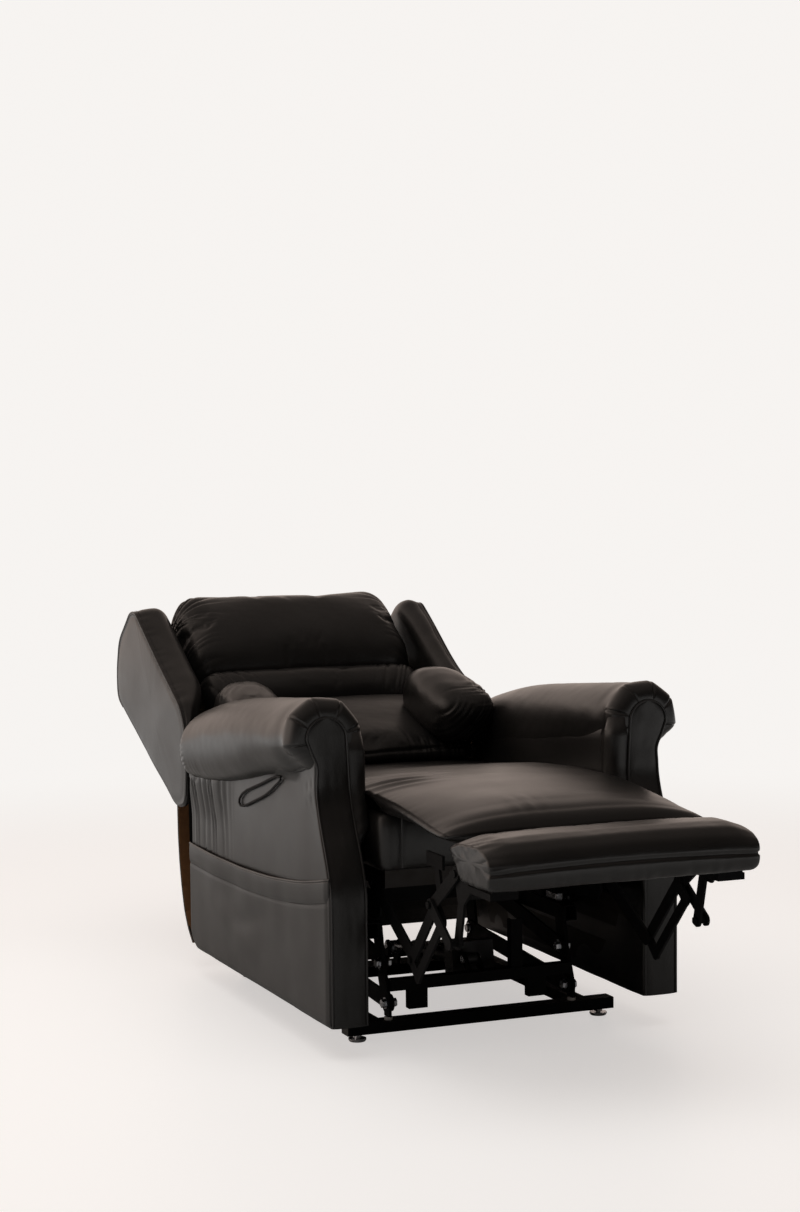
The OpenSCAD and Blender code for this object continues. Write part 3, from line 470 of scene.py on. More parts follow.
looks = {
    "leather": leatherMaterial("blackLeather", (0.0065, 0.0062, 0.0060), (0.0105, 0.0098, 0.0092),
                               (0.33, 0.45)),
    "softLeather": leatherMaterial(
        "softBlackLeather", (0.0065, 0.0062, 0.0060), (0.0110, 0.0102, 0.0096), (0.29, 0.41), 0.45, 0.7),
    "welt": leatherMaterial("weltLeather", (0.007, 0.007, 0.007), (0.016, 0.015, 0.0145), (0.28, 0.42), 0.6,
                            0.2),
    "thread": wovenMaterial("stitchThread", (0.012, 0.012, 0.012), (0.03, 0.029, 0.028), 900),
    "cord": wovenMaterial("wovenCord", (0.006, 0.006, 0.006), (0.016, 0.016, 0.016), 1100),
    "paint": plainMaterial(
        "powderCoat", (0.005, 0.005, 0.0054), (0.009, 0.009, 0.0096), (0.5, 0.66), 0.0, 22, 900, 0.25,
        0.0004),
    "zinc": plainMaterial("zincPlate", (0.52, 0.54, 0.58), (0.72, 0.73, 0.75), (0.16, 0.34), 1.0, 60, 900),
    "rodSteel": plainMaterial("chromedRod", (0.55, 0.56, 0.58), (0.68, 0.68, 0.7), (0.1, 0.2), 1.0, 40, 1200),
    "wire": plainMaterial("springWire", (0.2, 0.2, 0.21), (0.32, 0.32, 0.33), (0.3, 0.45), 1.0, 30, 900),
    "plastic": plainMaterial(
        "blackNylon", (0.009, 0.009, 0.0095), (0.014, 0.014, 0.015), (0.4, 0.56), 0.0, 30, 1400, 0.3),
    "motor": plainMaterial(
        "motorHousing", (0.010, 0.010, 0.011), (0.018, 0.018, 0.019), (0.36, 0.52), 0.0, 20, 1200, 0.3),
    "nylon": plainMaterial("whiteNylon", (0.72, 0.71, 0.68), (0.8, 0.79, 0.77), (0.35, 0.5), 0.0, 40, 900),
    "keys": plainMaterial("greyKeys", (0.2, 0.2, 0.21), (0.27, 0.27, 0.28), (0.45, 0.6), 0.0, 60, 900),
    "foam": plainMaterial(
        "foamBlock", (0.5, 0.44, 0.3), (0.62, 0.56, 0.42), (0.85, 0.95), 0.0, 200, 1500, 0.8, 0.002),
    "timber": woodMaterial("planedTimber", (0.30, 0.18, 0.09), (0.48, 0.33, 0.18), 6, 0.6),
    "darkTimber": woodMaterial("stainedTimber", (0.010, 0.0065, 0.005), (0.022, 0.0145, 0.010), 6, 0.6),
    # the brown board's inner part is painted near black as shade, its side edges left brown
    "hardboard": innerShadeBoard(
        "brownBoard", (0.145, 0.062, 0.022), (0.26, 0.125, 0.05), (0.008, 0.008, 0.008), 0.316),
}
setInputs(looks["paint"].node_tree.nodes["Principled BSDF"], Specular_IOR_Level=0.08)
cadLooks = {
    "black_steel": "paint", "zinc_steel": "zinc", "spring_steel": "wire", "black_plastic": "plastic",
    "white_nylon": "nylon", "grey_plastic": "keys", "timber": "timber", "brown_board": "hardboard",
    "foam": "foam", "black_cord": "cord", "black_leather": "leather",
}
nodeLooks = {
    "lift_rod": "rodSteel", "back_rod": "rodSteel", "lift_motor": "motor", "back_motor": "motor",
    "seat_frame": "darkTimber", "arm_frame_left": "darkTimber", "arm_frame_right": "darkTimber",
    "footrest_board": "darkTimber",
}


def dress(piece, look):
    piece.data.materials.clear()
    piece.data.materials.append(looks[look])


def settle(piece, body, look=None, nodes=()):
    if look:
        dress(piece, look)
    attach(piece, body)
    if nodes:
        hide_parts(*nodes)


def dressFrame():
    slots = {row["node"]: row["material_slot"] for row in frame["record"]["subparts"]}
    for name, node in cadNodes.items():
        look = looks[nodeLooks.get(name, cadLooks[slots[name]])]
        for s in node.material_slots:
            kind = s.material.name.lower() if s.material else ""
            s.material = looks["zinc"] if "zinc" in kind else look
        if not node.material_slots:
            node.data.materials.append(look)


dressFrame()
print("materials made")


def treeStart(name, sizes):
    tree = bpy.data.node_groups.new(name, "GeometryNodeTree")
    tree.interface.new_socket("Geometry", in_out="INPUT", socket_type="NodeSocketGeometry")
    ids = {}
    for n, value in sizes.items():
        kind = "NodeSocketInt" if isinstance(value, int) else "NodeSocketFloat"
        socket = tree.interface.new_socket(n, in_out="INPUT", socket_type=kind)
        socket.default_value = value
        ids[n] = socket.identifier
    finish = tree.interface.new_socket("Finish", in_out="INPUT", socket_type="NodeSocketMaterial")
    ids["Finish"] = finish.identifier
    tree.interface.new_socket("Geometry", in_out="OUTPUT", socket_type="NodeSocketGeometry")
    return tree, tree.nodes.new("NodeGroupInput"), tree.nodes.new("NodeGroupOutput"), ids


def stitchRowTree():
    # short threads laid end to end along a line
    tree, given, told, ids = treeStart("stitchRow", {"Pitch": 0.0065, "Thread": 0.0005})
    line = addNode(tree, "GeometryNodeMeshToCurve")
    spots = addNode(tree, "GeometryNodeCurveToPoints", mode="LENGTH")
    thread = addNode(tree, "GeometryNodeMeshUVSphere", Segments=6, Rings=5, Radius=1.0)
    turn = addNode(tree, "FunctionNodeAlignRotationToVector", axis="Z")
    size = addNode(tree, "CombineXYZ")
    half = addMaths(tree, "MULTIPLY", _1=0.36)
    place = addNode(tree, "GeometryNodeInstanceOnPoints")
    real = addNode(tree, "GeometryNodeRealizeInstances")
    finish = addNode(tree, "GeometryNodeSetMaterial")
    joinUp(tree, (given, "Geometry", line, 0), (line, 0, spots, "Curve"),
           (given, "Pitch", spots, "Length"), (spots, "Points", place, "Points"),
           (spots, "Tangent", turn, "Vector"), (turn, 0, place, "Rotation"), (given, "Pitch", half, 0),
           (given, "Thread", size, 0), (given, "Thread", size, 1), (half, 0, size, 2),
           (size, 0, place, "Scale"), (thread, "Mesh", place, "Instance"),
           (place, 0, real, 0), (real, 0, finish, "Geometry"),
           (given, "Finish", finish, "Material"), (finish, 0, told, 0))
    return tree, ids


def pipingTree():
    # a round welt that follows a line
    tree, given, told, ids = treeStart("pipedEdge", {"Radius": 0.0025, "Sides": 10})
    line = addNode(tree, "GeometryNodeMeshToCurve")
    even = addNode(tree, "GeometryNodeResampleCurve", mode="LENGTH", Length=0.006)
    ring = addNode(tree, "GeometryNodeCurvePrimitiveCircle")
    tube = addNode(tree, "GeometryNodeCurveToMesh", Fill_Caps=True)
    finish = addNode(tree, "GeometryNodeSetMaterial")
    soft = addNode(tree, "GeometryNodeSetShadeSmooth")
    joinUp(tree, (given, "Geometry", line, 0), (line, 0, even, "Curve"),
           (given, "Radius", ring, "Radius"), (given, "Sides", ring, "Resolution"),
           (even, 0, tube, "Curve"), (ring, "Curve", tube, "Profile Curve"),
           (tube, 0, soft, "Geometry"), (soft, 0, finish, "Geometry"),
           (given, "Finish", finish, "Material"), (finish, 0, told, 0))
    return tree, ids


stitchTree, stitchIds = stitchRowTree()
weltTree, weltIds = pipingTree()


def alongLines(name, lines, tree, values):
    # runs a geometry node tree along polylines and keeps the plain mesh
    points, edges = [], []
    for line in lines:
        base = len(points)
        points += [list(p) for p in line]
        edges += [[base + i, base + i + 1] for i in range(len(line) - 1)]
    mesh = bpy.data.meshes.new(name)
    mesh.from_pydata(inMetres(points).tolist(), edges, [])
    piece = addToScene(bpy.data.objects.new(name, mesh))
    modifier = piece.modifiers.new("rule", "NODES")
    modifier.node_group = tree
    for key, value in values.items():
        modifier[key] = value
    return applied(piece)


def stitches(name, lines, pitch, thread=0.55):
    return alongLines(name, lines, stitchTree, {
        stitchIds["Pitch"]: pitch / 1000,
        stitchIds["Thread"]: thread / 1000,
        stitchIds["Finish"]: looks["thread"]})


def welt(name, lines, radius):
    return alongLines(name, lines, weltTree, {
        weltIds["Radius"]: radius / 1000,
        weltIds["Sides"]: 10,
        weltIds["Finish"]: looks["welt"]})


loopCord = {
    "thickness": 5, "x": -360.2, "far": (352, 402), "narrow": 0.7, "shift": (22, 11),
    "route": [(107, 481), (122, 483), (140, 480.5), (168, 474), (200, 465), (235, 455), (272, 446),
              (308, 437), (336, 425), (352, 412), (354, 400), (344, 392), (324, 392), (296, 399), (262, 409),
              (226, 419), (192, 430), (162, 443), (138, 457), (118, 467), (107, 475)],
}


def makeLoop():
    line = np.array(loopCord["route"], float)
    along = np.array(loopCord["far"], float) - line[0]
    along /= np.linalg.norm(along)
    foot = line[0] + ((line - line[0]) @ along)[:, None] * along
    line = foot + (line - foot) * loopCord["narrow"] + loopCord["shift"]
    route = inMetres([(loopCord["x"], y, z) for y, z in line])
    curve = bpy.data.curves.new("pullLoop", "CURVE")
    curve.dimensions = "3D"
    spline = curve.splines.new("POLY")
    spline.points.add(len(route) - 1)
    for point, p in zip(spline.points, route):
        point.co = (*p, 1)
    curve.bevel_depth = loopCord["thickness"] / 2000
    curve.bevel_resolution = 4
    curve.use_fill_caps = True
    curve.materials.append(looks["cord"])
    cord = addToScene(bpy.data.objects.new("pullLoop", curve))
    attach(cord, "lift_frame")
    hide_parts("pull_loop")


makeLoop()


arm = {
    "rollRadius": 74.0, "rollX": 331.5, "archX": 333.0, "archZ": 582.0, "archRadius": 39.0,
    "frontY": -44.5, "rearCentreY": 608.0, "rearReach": 73, "bottom": 60.0, "outerX": 356.0, "cove": 24,
    "seams": (-12, 33, 74, 118, 164, 196), "borderReach": 5.0,
    "ringPoints": 240, "bodyPoints": (26, 10, 150, 12, 12, 12, 70, 14),
    "rollTop": [(-60, 658.5), (-20, 656.5), (60, 648.5), (140, 641), (218, 634), (327, 623), (400, 614.5),
                (458, 606), (520, 594), (560, 585), (608, 573.5), (640, 564.5), (700, 547)],
    "rollDepth": [(-60, 1), (100, 1), (218, 1.03), (327, 1.15), (458, 1.22), (560, 1.06), (608, 0.92),
                  (690, 0.78)],
    "tuck": ([-90, -65, -45, -30, -12, 180, 235, 270], [0.16, 0.18, 0.22, 0.17, 0, 0, 0.08, 0.16]),
    "facingInner": [(60, 286.5), (290, 286.5), (400, 287), (470, 288), (530, 291), (582, 294)],
    "facingOuter": [(60, 353), (440, 353), (500, 352.5), (532, 352), (556, 362), (582, 372)],
}


def rollCentre(y):
    return curveThrough(arm["rollTop"], y) - arm["rollRadius"]


def armFrontY(z):
    return -115 + 71 * ramp(z, 290, 500)


def borderShape(angle):
    # the gathered border is folded in flats: how far each angle lies inside the corners, and its seams
    seams = np.array(arm["seams"], float)
    a = (np.asarray(angle, float) - seams[0]) % 360 + seams[0]
    i = np.clip(np.searchsorted(seams, a, side="right") - 1, 0, len(seams) - 2)
    low, high = seams[i], seams[i + 1]
    half, mid = np.radians((high - low) / 2), (low + high) / 2
    inside = (a >= seams[0]) & (a <= seams[-1])
    flat = np.where(inside, np.cos(half) / np.cos(np.radians(np.clip(a - mid, -50, 50))), 0.95)
    flat = 0.8 * flat + 0.2 * 0.965
    near = np.min(np.abs(a[..., None] - seams), -1)
    return flat, hump(near, 2.2) * inside


def rollRings():
    # in under the facing, round the gathered border, along the roll, round the rear end
    edge = arm["rollRadius"] - arm["archRadius"]
    start = arm["frontY"] + edge
    rings = [("face", r, arm["frontY"] + 1.5, 0.0) for r in (12, 26, 36)]
    for t in np.linspace(0, 1, 16):
        a = t * math.pi / 2
        rings.append(("face", arm["archRadius"] + edge * math.sin(a),
                      arm["frontY"] + edge * (1 - math.cos(a)), t))
    rings += [("roll", arm["rollRadius"], y, 1.0) for y in np.arange(start + 5, arm["rearCentreY"], 7.0)]
    for t in np.linspace(0, 1, 18)[1:]:
        a = t * math.pi / 2
        y = arm["rearCentreY"] + arm["rearReach"] * math.sin(a)
        rings.append(("rear", arm["rollRadius"] * math.cos(a) ** 0.85, y, 1.0))
    return rings, start


def makeRoll(name, seed):
    n = arm["ringPoints"]
    angle = np.linspace(0, 360, n, endpoint=False)
    ca, sa = np.cos(np.radians(angle)), np.sin(np.radians(angle))
    folded, groove = borderShape(angle)
    tuck = np.interp((angle + 90) % 360 - 90, *arm["tuck"])
    rings, start = rollRings()
    out = []
    for kind, r, y, t in rings:
        face = kind == "face"
        near = 1 - ramp(y, start - 6, start + 12)
        rise = math.sin(math.pi * min(max(t, 0.0), 1) * 0.5) if face else 1.0
        push = near * rise * ((arm["rollRadius"] + arm["borderReach"]) * folded - arm["rollRadius"])
        push = push - near * groove * 2.4 * min(1, 0.3 + rise)
        push = push - 2.0 * math.exp(-((y - start - 24) / 22) ** 2) * (sa > -0.9)
        if face and r < arm["archRadius"] - 1:
            push = push * 0
        mix = ramp(r, arm["archRadius"], arm["rollRadius"]) if face else 1.0
        cx = arm["archX"] * (1 - mix) + arm["rollX"] * mix
        cz = arm["archZ"] * (1 - mix) + rollCentre(y) * mix
        radius = np.maximum(r + push, 0.5)
        if kind == "rear":
            depth = (y - arm["rearCentreY"]) / arm["rearReach"]
            gathers = 2.4 * (pleats(angle * 1.25, 16, seed + 3) - 0.6)
            radius = radius + gathers * math.sin(math.pi * min(1, depth * 1.05)) * min(1, r / 20)
            cz = cz - 8 * depth**2
        # below the border the front of the roll is drawn in to the facing
        inner = 1 if r > arm["archRadius"] else r / arm["archRadius"]
        radius = radius * (1 - tuck * (1 - ramp(y, -40, 75)) * inner)
        # behind, its underside lies flatter
        rise = np.where(sa < 0, curveThrough(arm["rollDepth"], y), 1.0)
        full = np.where(ca > 0, 1 - 0.45 * ramp(y, 110, 300), 1 - 0.84 * ramp(y, 0, 90))
        full = np.where(sa < 0, full, 1.0)
        puffy = 3.0 * math.sin(math.pi * min(t, 1)) * (1 - groove) if face else 0
        x = cx + radius * np.sign(ca) * np.abs(ca) ** full
        out.append(np.stack([x, np.full(n, y) - puffy, cz + radius * sa * rise], -1))
    rings = np.array(out)
    flat = rings.reshape(-1, 3)
    y = flat[:, 1]
    soft = 1.3 * drift(flat * (1, 0.5, 1), 260, seed) + 0.25 * drift(flat, 60, seed + 1)
    # gathers where the roll's cover is pulled into the seam under it
    low = np.clip((rollCentre(y) - 22 - flat[:, 2]) / 60, 0, 1)
    along = 0.12 + 0.88 * ramp(y, 420, 580)
    outwards = ramp(flat[:, 0], arm["rollX"] - 10, arm["rollX"] + 30)
    soft = soft * (0.08 + 0.92 * np.maximum(outwards, 1 - np.clip(2 * low, 0, 1)))
    soft = soft + 2.0 * low * along * outwards * (pleats(y, 27, seed + 2) - 0.6) * (y > 20)
    away = flat - np.stack([np.full(len(flat), arm["rollX"]), y, rollCentre(y)], -1)
    away[:, 1] = 0
    length = np.linalg.norm(away, axis=1, keepdims=True)
    flat = flat + away / np.maximum(length, 1) * (soft * ramp(y, 0, 30))[:, None]
    return loftPiece(name, flat.reshape(rings.shape))


def armSpot(side, f, guess, z, top):
    # where the body's outline lies at a height, and its corner radii
    rear = 710 - 40 * (1 - math.sqrt(max(0, 1 - max(0, (104 - z) / 44) ** 2)))
    rear -= 22 * float(ramp(z, 370, 470)) + 30 * float(ramp(z, 440, 520))
    front = float(armFrontY(z))
    inner = 284 - 25.5 * float(ramp(z, 372, 432)) + 9 * float(ramp(z, top - 40, top - 10))
    outer = arm["outerX"] + 2.5 * math.sin(math.pi * min(1, max(0, (z - 60) / 430)))
    outer += 11 * float(ramp(guess, 400, 540)) * float(ramp(z, 335, 440))
    ri, ro, rr = 5 + 20 * float(ramp(z, 280, 455)), 5, 20
    arc = math.radians(90 * f)
    if side == 0:
        x, y = inner + ri + (outer - ro - inner - ri) * f, front
    elif side == 1:
        x, y = outer - ro + ro * math.sin(arc), front + ro - ro * math.cos(arc)
    elif side == 2:
        x, y = outer, front + ro + (rear - rr - front - ro) * f
    elif side == 3:
        x, y = outer - rr + rr * math.cos(arc), rear - rr + rr * math.sin(arc)
    elif side == 4:
        x, y = outer - rr + (inner + rr - outer + rr) * f, rear
    elif side == 5:
        x, y = inner + rr - rr * math.sin(arc), rear - rr + rr * math.cos(arc)
    elif side == 6:
        x, y = inner, rear - rr + (front + ri - rear + rr) * f
    else:
        x, y = inner + ri - ri * math.cos(arc), front + ri - ri * math.sin(arc)
    return x, y, outer


def armCove(x, y, z, centre, outer):
    # in front the cover runs from the roll into the side in a soft cove
    radius = arm["rollRadius"]
    drop = min(radius, abs(centre - z))
    reach = arm["rollX"] + math.sqrt(radius**2 - drop**2) * (1 - 0.3 * float(1 - ramp(y, -40, 75)))
    near = max(0.0, 1 - abs(reach - outer) / arm["cove"])
    cove = max(0.0, reach - outer) + near**2 * arm["cove"] / 4
    cove *= float(ramp(y, 20, 80) * (1 - ramp(y, 130, 240)))
    return x + cove * float(1 - ramp(z, centre - 52, centre - 38)) * float(ramp(z, centre - 125, centre - 90))


def makeArmBody(name, seed):
    bottom = arm["bottom"]
    spots = [(side, (k + 0.5) / n) for side, n in enumerate(arm["bodyPoints"]) for k in range(n)]
    levels = np.r_[0.0, 0.004, 0.012, np.linspace(0.025, 0.93, 62), 1.0]
    rows = []
    for t in levels:
        row = []
        tuck = float(1 - ramp(t, 0.0, 0.02))
        for side, f in spots:
            # a first guess of y gives z, and z gives the true edges
            guess = {0: -100, 1: -100, 2: -115 + 825 * f, 3: 700, 4: 708, 5: 700, 6: 708 - 815 * f,
                     7: -100}[side]
            top = rollCentre(min(max(guess, -44), 640)) + 6
            x, y, outer = armSpot(side, f, guess, bottom + t * (top - bottom), top)
            centre = float(rollCentre(min(max(y, -44), 640)))
            z = bottom + t * (centre + 6 - bottom)
            if side in (1, 2, 3):
                x = armCove(x, y, z, centre, outer)
            if side in (6, 7, 0) and y < 10:
                x -= (9 * float(ramp(z, 360, 450)) * (1 - float(ramp(y, -25, 10)))
                      * (1 if side != 0 else 1 - f))
            spine = np.array([320, min(max(y, -70), 660)])
            x, y = spine + (np.array([x, y]) - spine) * (1 - 0.06 * tuck)
            row.append((x, y, z))
        rows.append(row)
    rings = np.array(rows)
    spine = [np.full(rings.shape[1], 320), np.clip(rings[0, :, 1], -70, 660), np.full(rings.shape[1], bottom)]
    spine = np.stack(spine, -1)
    rings = np.concatenate([[rings[0] * (1 - k) + spine * k for k in (0.9, 0.5, 0.2)], rings])
    rings[:3, :, 2] = bottom
    body = loftPiece(name, rings)
    p, n = meshPoints(body), normalsOf(body)
    x, y, z = p.T
    below = curveThrough([(40, 499), (706, 420)], y) - z
    fade = np.exp(-np.clip(below, 0, 900) / 165) * (below > -30)
    side = np.clip(n[:, 0], 0, 1) ** 2
    gathers = 6.4 * (pleats(y + 4 * drift(p, 300, seed), 29, seed + 1) - 0.62)
    amount = side * fade * ramp(y, 400, 520) * gathers * (below > 0)
    # a few puckers by the front corner, under the roll
    corner = hump(y + 30, 34) * hump(below - 14, 26)
    amount += side * 2.2 * corner * (pleats(z + 0.4 * y, 13, seed + 4) - 0.5)
    amount += side * 1.1 * drift(p * (1, 1, 0.7), 330, seed + 2)
    # the strip beside the facing wrinkles where it bends
    strip = ramp(z, 300, 420) * (1 - ramp(y - armFrontY(z), 24, 44)) * (1 - ramp(x, 285, 294))
    bend = hump(z - 430, 50)
    amount += strip * 2.2 * (pleats(z * 0.9 + x * 0.5, 30, seed + 5) - 0.6) * bend
    amount += strip * 3.0 * arch((x - 250) / 37)
    amount += np.clip(-n[:, 0], 0, 1) * 1.2 * drift(p, 240, seed + 6) * (1 - ramp(z, 400, 450))
    setPoints(body, p + n * amount[:, None])
    return body


def facingEdges(z):
    # inner and outer edge of the front facing at a height
    z = np.asarray(z, float)
    over = np.clip(z - arm["archZ"], 0, arm["archRadius"])
    half = np.sqrt(np.clip(arm["archRadius"] ** 2 - over**2, 0, None))
    inArch = z > arm["archZ"]
    return (np.where(inArch, arm["archX"] - half, curveThrough(arm["facingInner"], z)),
            np.where(inArch, arm["archX"] + half, curveThrough(arm["facingOuter"], z)))


def facingLevels(bottom, straight, arch):
    turn = np.linspace(0, 1, arch) * math.pi / 2
    return np.r_[np.linspace(bottom, 575, straight), arm["archZ"] + arm["archRadius"] * np.sin(turn)]


def makeFacing(name, seed):
    zs = facingLevels(61, 96, 14)
    u = np.linspace(0, 1, 21)
    lo, hi = facingEdges(zs)
    x = lo[:, None] + (hi - lo)[:, None] * u[None]
    z = np.repeat(zs[:, None], len(u), 1)
    y = armFrontY(z) - 1.0
    crown = (1 - (2 * u - 1) ** 4)[None] * np.ones_like(z)
    flat = np.stack([x, y, z], -1)
    y = (y - 3.4 * crown - 0.8 * crown * drift(flat, 120, seed)
         - 0.5 * crown * drift(flat * (1, 1, 0.35), 30, seed + 1))
    return makeShell(name, np.stack([x, y, z], -1), np.stack([x, armFrontY(z) + 3, z], -1))


def facingWeltLine():
    zs = facingLevels(62, 80, 12)
    lo, hi = facingEdges(zs)
    y = armFrontY(zs) - 2.2
    return np.vstack([np.stack([hi, y, zs], -1), np.stack([lo, y, zs], -1)[::-1][1:]])


def makeArms():
    for side, seed in (("Right", 11), ("Left", 29)):
        made = [(makeRoll("armRoll" + side, seed), "softLeather", 0.8, ["arm_" + side.lower()]),
                (makeArmBody("armBody" + side, seed + 40), "leather", 0.7, []),
                (makeFacing("armFacing" + side, seed + 80), "leather", 0.5, ["arm_facings"]),
                (welt("armWelt" + side, [facingWeltLine()], 2.3), None, None, [])]
        for piece, look, fill, nodes in made:
            if side == "Left":
                toOtherSide(piece)
            settle(piece, "lift_frame", look, nodes)
    print("arms made")


makeArms()


pocket = {
    "hemDrop": 41, "thickness": 2.2, "bottom": 63, "front": -112, "rear": 706, "x": 359.6,
    "top": [(-112, 333), (-60, 323), (0, 312.5), (120, 298), (292, 286), (480, 280.5), (713, 281)],
}


def pocketTop(y):
    return curveThrough(pocket["top"], y)


def makePocket():
    y = np.linspace(pocket["front"], pocket["rear"], 170)
    t = np.r_[np.linspace(0, 0.8, 44), np.linspace(0.82, 1, 12)]
    top = pocketTop(y)
    yy = np.repeat(y[None], len(t), 0)
    low = pocket["bottom"] + 40 * (1 - np.sqrt(np.clip(1 - np.clip((y - 662) / 46, 0, 1) ** 2, 0, 1)))
    z = low + (top - low) * t[:, None]
    slack = arch((yy + 112) / 820) ** 0.7
    flat = np.stack([np.zeros_like(z), yy, z], -1)
    x = pocket["x"] + slack * (3.2 * ramp(t, 0.3, 1) + 3.4 * ramp(t, 0.8, 1))[:, None]
    x = x + 1.5 * drift(flat, 300, 5) * (0.3 + slack)
    # broad folds rise from the lower front corner
    fold = hump(z - 150 - 0.28 * (yy - 420), 34) * hump(yy - 470, 150)
    fold2 = hump(z - 190 + 0.2 * (yy - 300), 24) * hump(yy - 330, 120)
    x = x + 4.5 * fold * slack - 2.5 * fold2 * slack
    hemLine = top - pocket["hemDrop"]
    x = x - 1.5 * hump(z - hemLine, 3.0)
    hemSwell = arch((top - z) / pocket["hemDrop"])
    x = x + 0.9 * ramp(z, hemLine - 2, hemLine + 8) * hemSwell
    # it wraps round the front corner, and its lower edge is sewn down
    x = x - 4.0 * (1 - ramp(yy, -112, -98))
    x = x - 2.5 * (1 - ramp(t, 0, 0.03)[:, None])
    piece = makePiece("sidePocket", np.stack([-x, yy, z], -1).reshape(-1, 3), gridFaces(*z.shape))
    solid = piece.modifiers.new("thickness", "SOLIDIFY")
    solid.thickness = pocket["thickness"] / 1000
    solid.offset = 0
    applied(piece)
    pointOutwards(piece)
    settle(piece, "lift_frame", "leather", ["side_pocket"])
    ys = y[3:-3]
    rowX = np.interp(ys, y, x[np.argmin(np.abs(t - 0.81))]) + pocket["thickness"] / 2 + 0.3
    hem = welt("pocketHem", [np.stack([-x[-1] - 0.2, y, top + 0.5], -1)], 2.4)
    row = [np.stack([-rowX + 0.2, ys, pocketTop(ys) - pocket["hemDrop"]], -1)]
    line = stitches("pocketStitches", row, 5.5, 0.5)
    for p in (hem, line):
        settle(p, "lift_frame")


makePocket()


wing = {
    "inner": 281.5, "innerEdge": 30.0,
    "outline": [(0, 0), (-52, 42), (-24, 120), (14, 186), (66, 214), (236, 219), (451, 233),
                (482, 212), (498, 178), (533, 111), (521, 38), (489, -19), (238, -11)],
    "centre": (240, 105), "footRound": 62,
    "Right": {"outer": 347.0, "edge": 16.0, "lean": 15.0},
    "Left": {"outer": 364.5, "edge": 7.0, "lean": 0.0},
}


def towardSpine(outline, spine, keep):
    # an outline drawn in towards the nearest place on a spine
    a, b = np.array(spine[0], float), np.array(spine[1], float)
    d = b - a
    t = np.clip(((outline - a) @ d) / (d @ d), 0, 1)
    foot = a + t[:, None] * d
    return foot + (outline - foot) * keep


def insetBy(outline, amount):
    # a closed outline moved inwards along its own normals
    ahead, behind = np.roll(outline, -1, 0), np.roll(outline, 1, 0)
    t = ahead - behind
    n = np.stack([-t[:, 1], t[:, 0]], -1)
    n /= np.linalg.norm(n, axis=1, keepdims=True)
    area = 0.5 * np.sum(outline[:, 0] * ahead[:, 1] - ahead[:, 0] * outline[:, 1])
    return outline + (n if area >= 0 else -n) * np.full(len(outline), amount)[:, None]


def wingOutline(count):
    # the long sides stay straight, and each corner is cut by up to a few centimetres
    dense = []
    corners = np.array(wing["outline"], float)
    for i, b in enumerate(corners):
        a, c = corners[i - 1], corners[(i + 1) % len(corners)]
        reach = min(26, 0.42 * np.linalg.norm(a - b), 0.42 * np.linalg.norm(c - b))
        p = b + (a - b) / np.linalg.norm(a - b) * reach
        q = b + (c - b) / np.linalg.norm(c - b) * reach
        for s in np.linspace(0, 1, 7):
            dense.append((1 - s) ** 2 * p + 2 * s * (1 - s) * b + s * s * q)
    return evenly(np.array(dense), count, True)


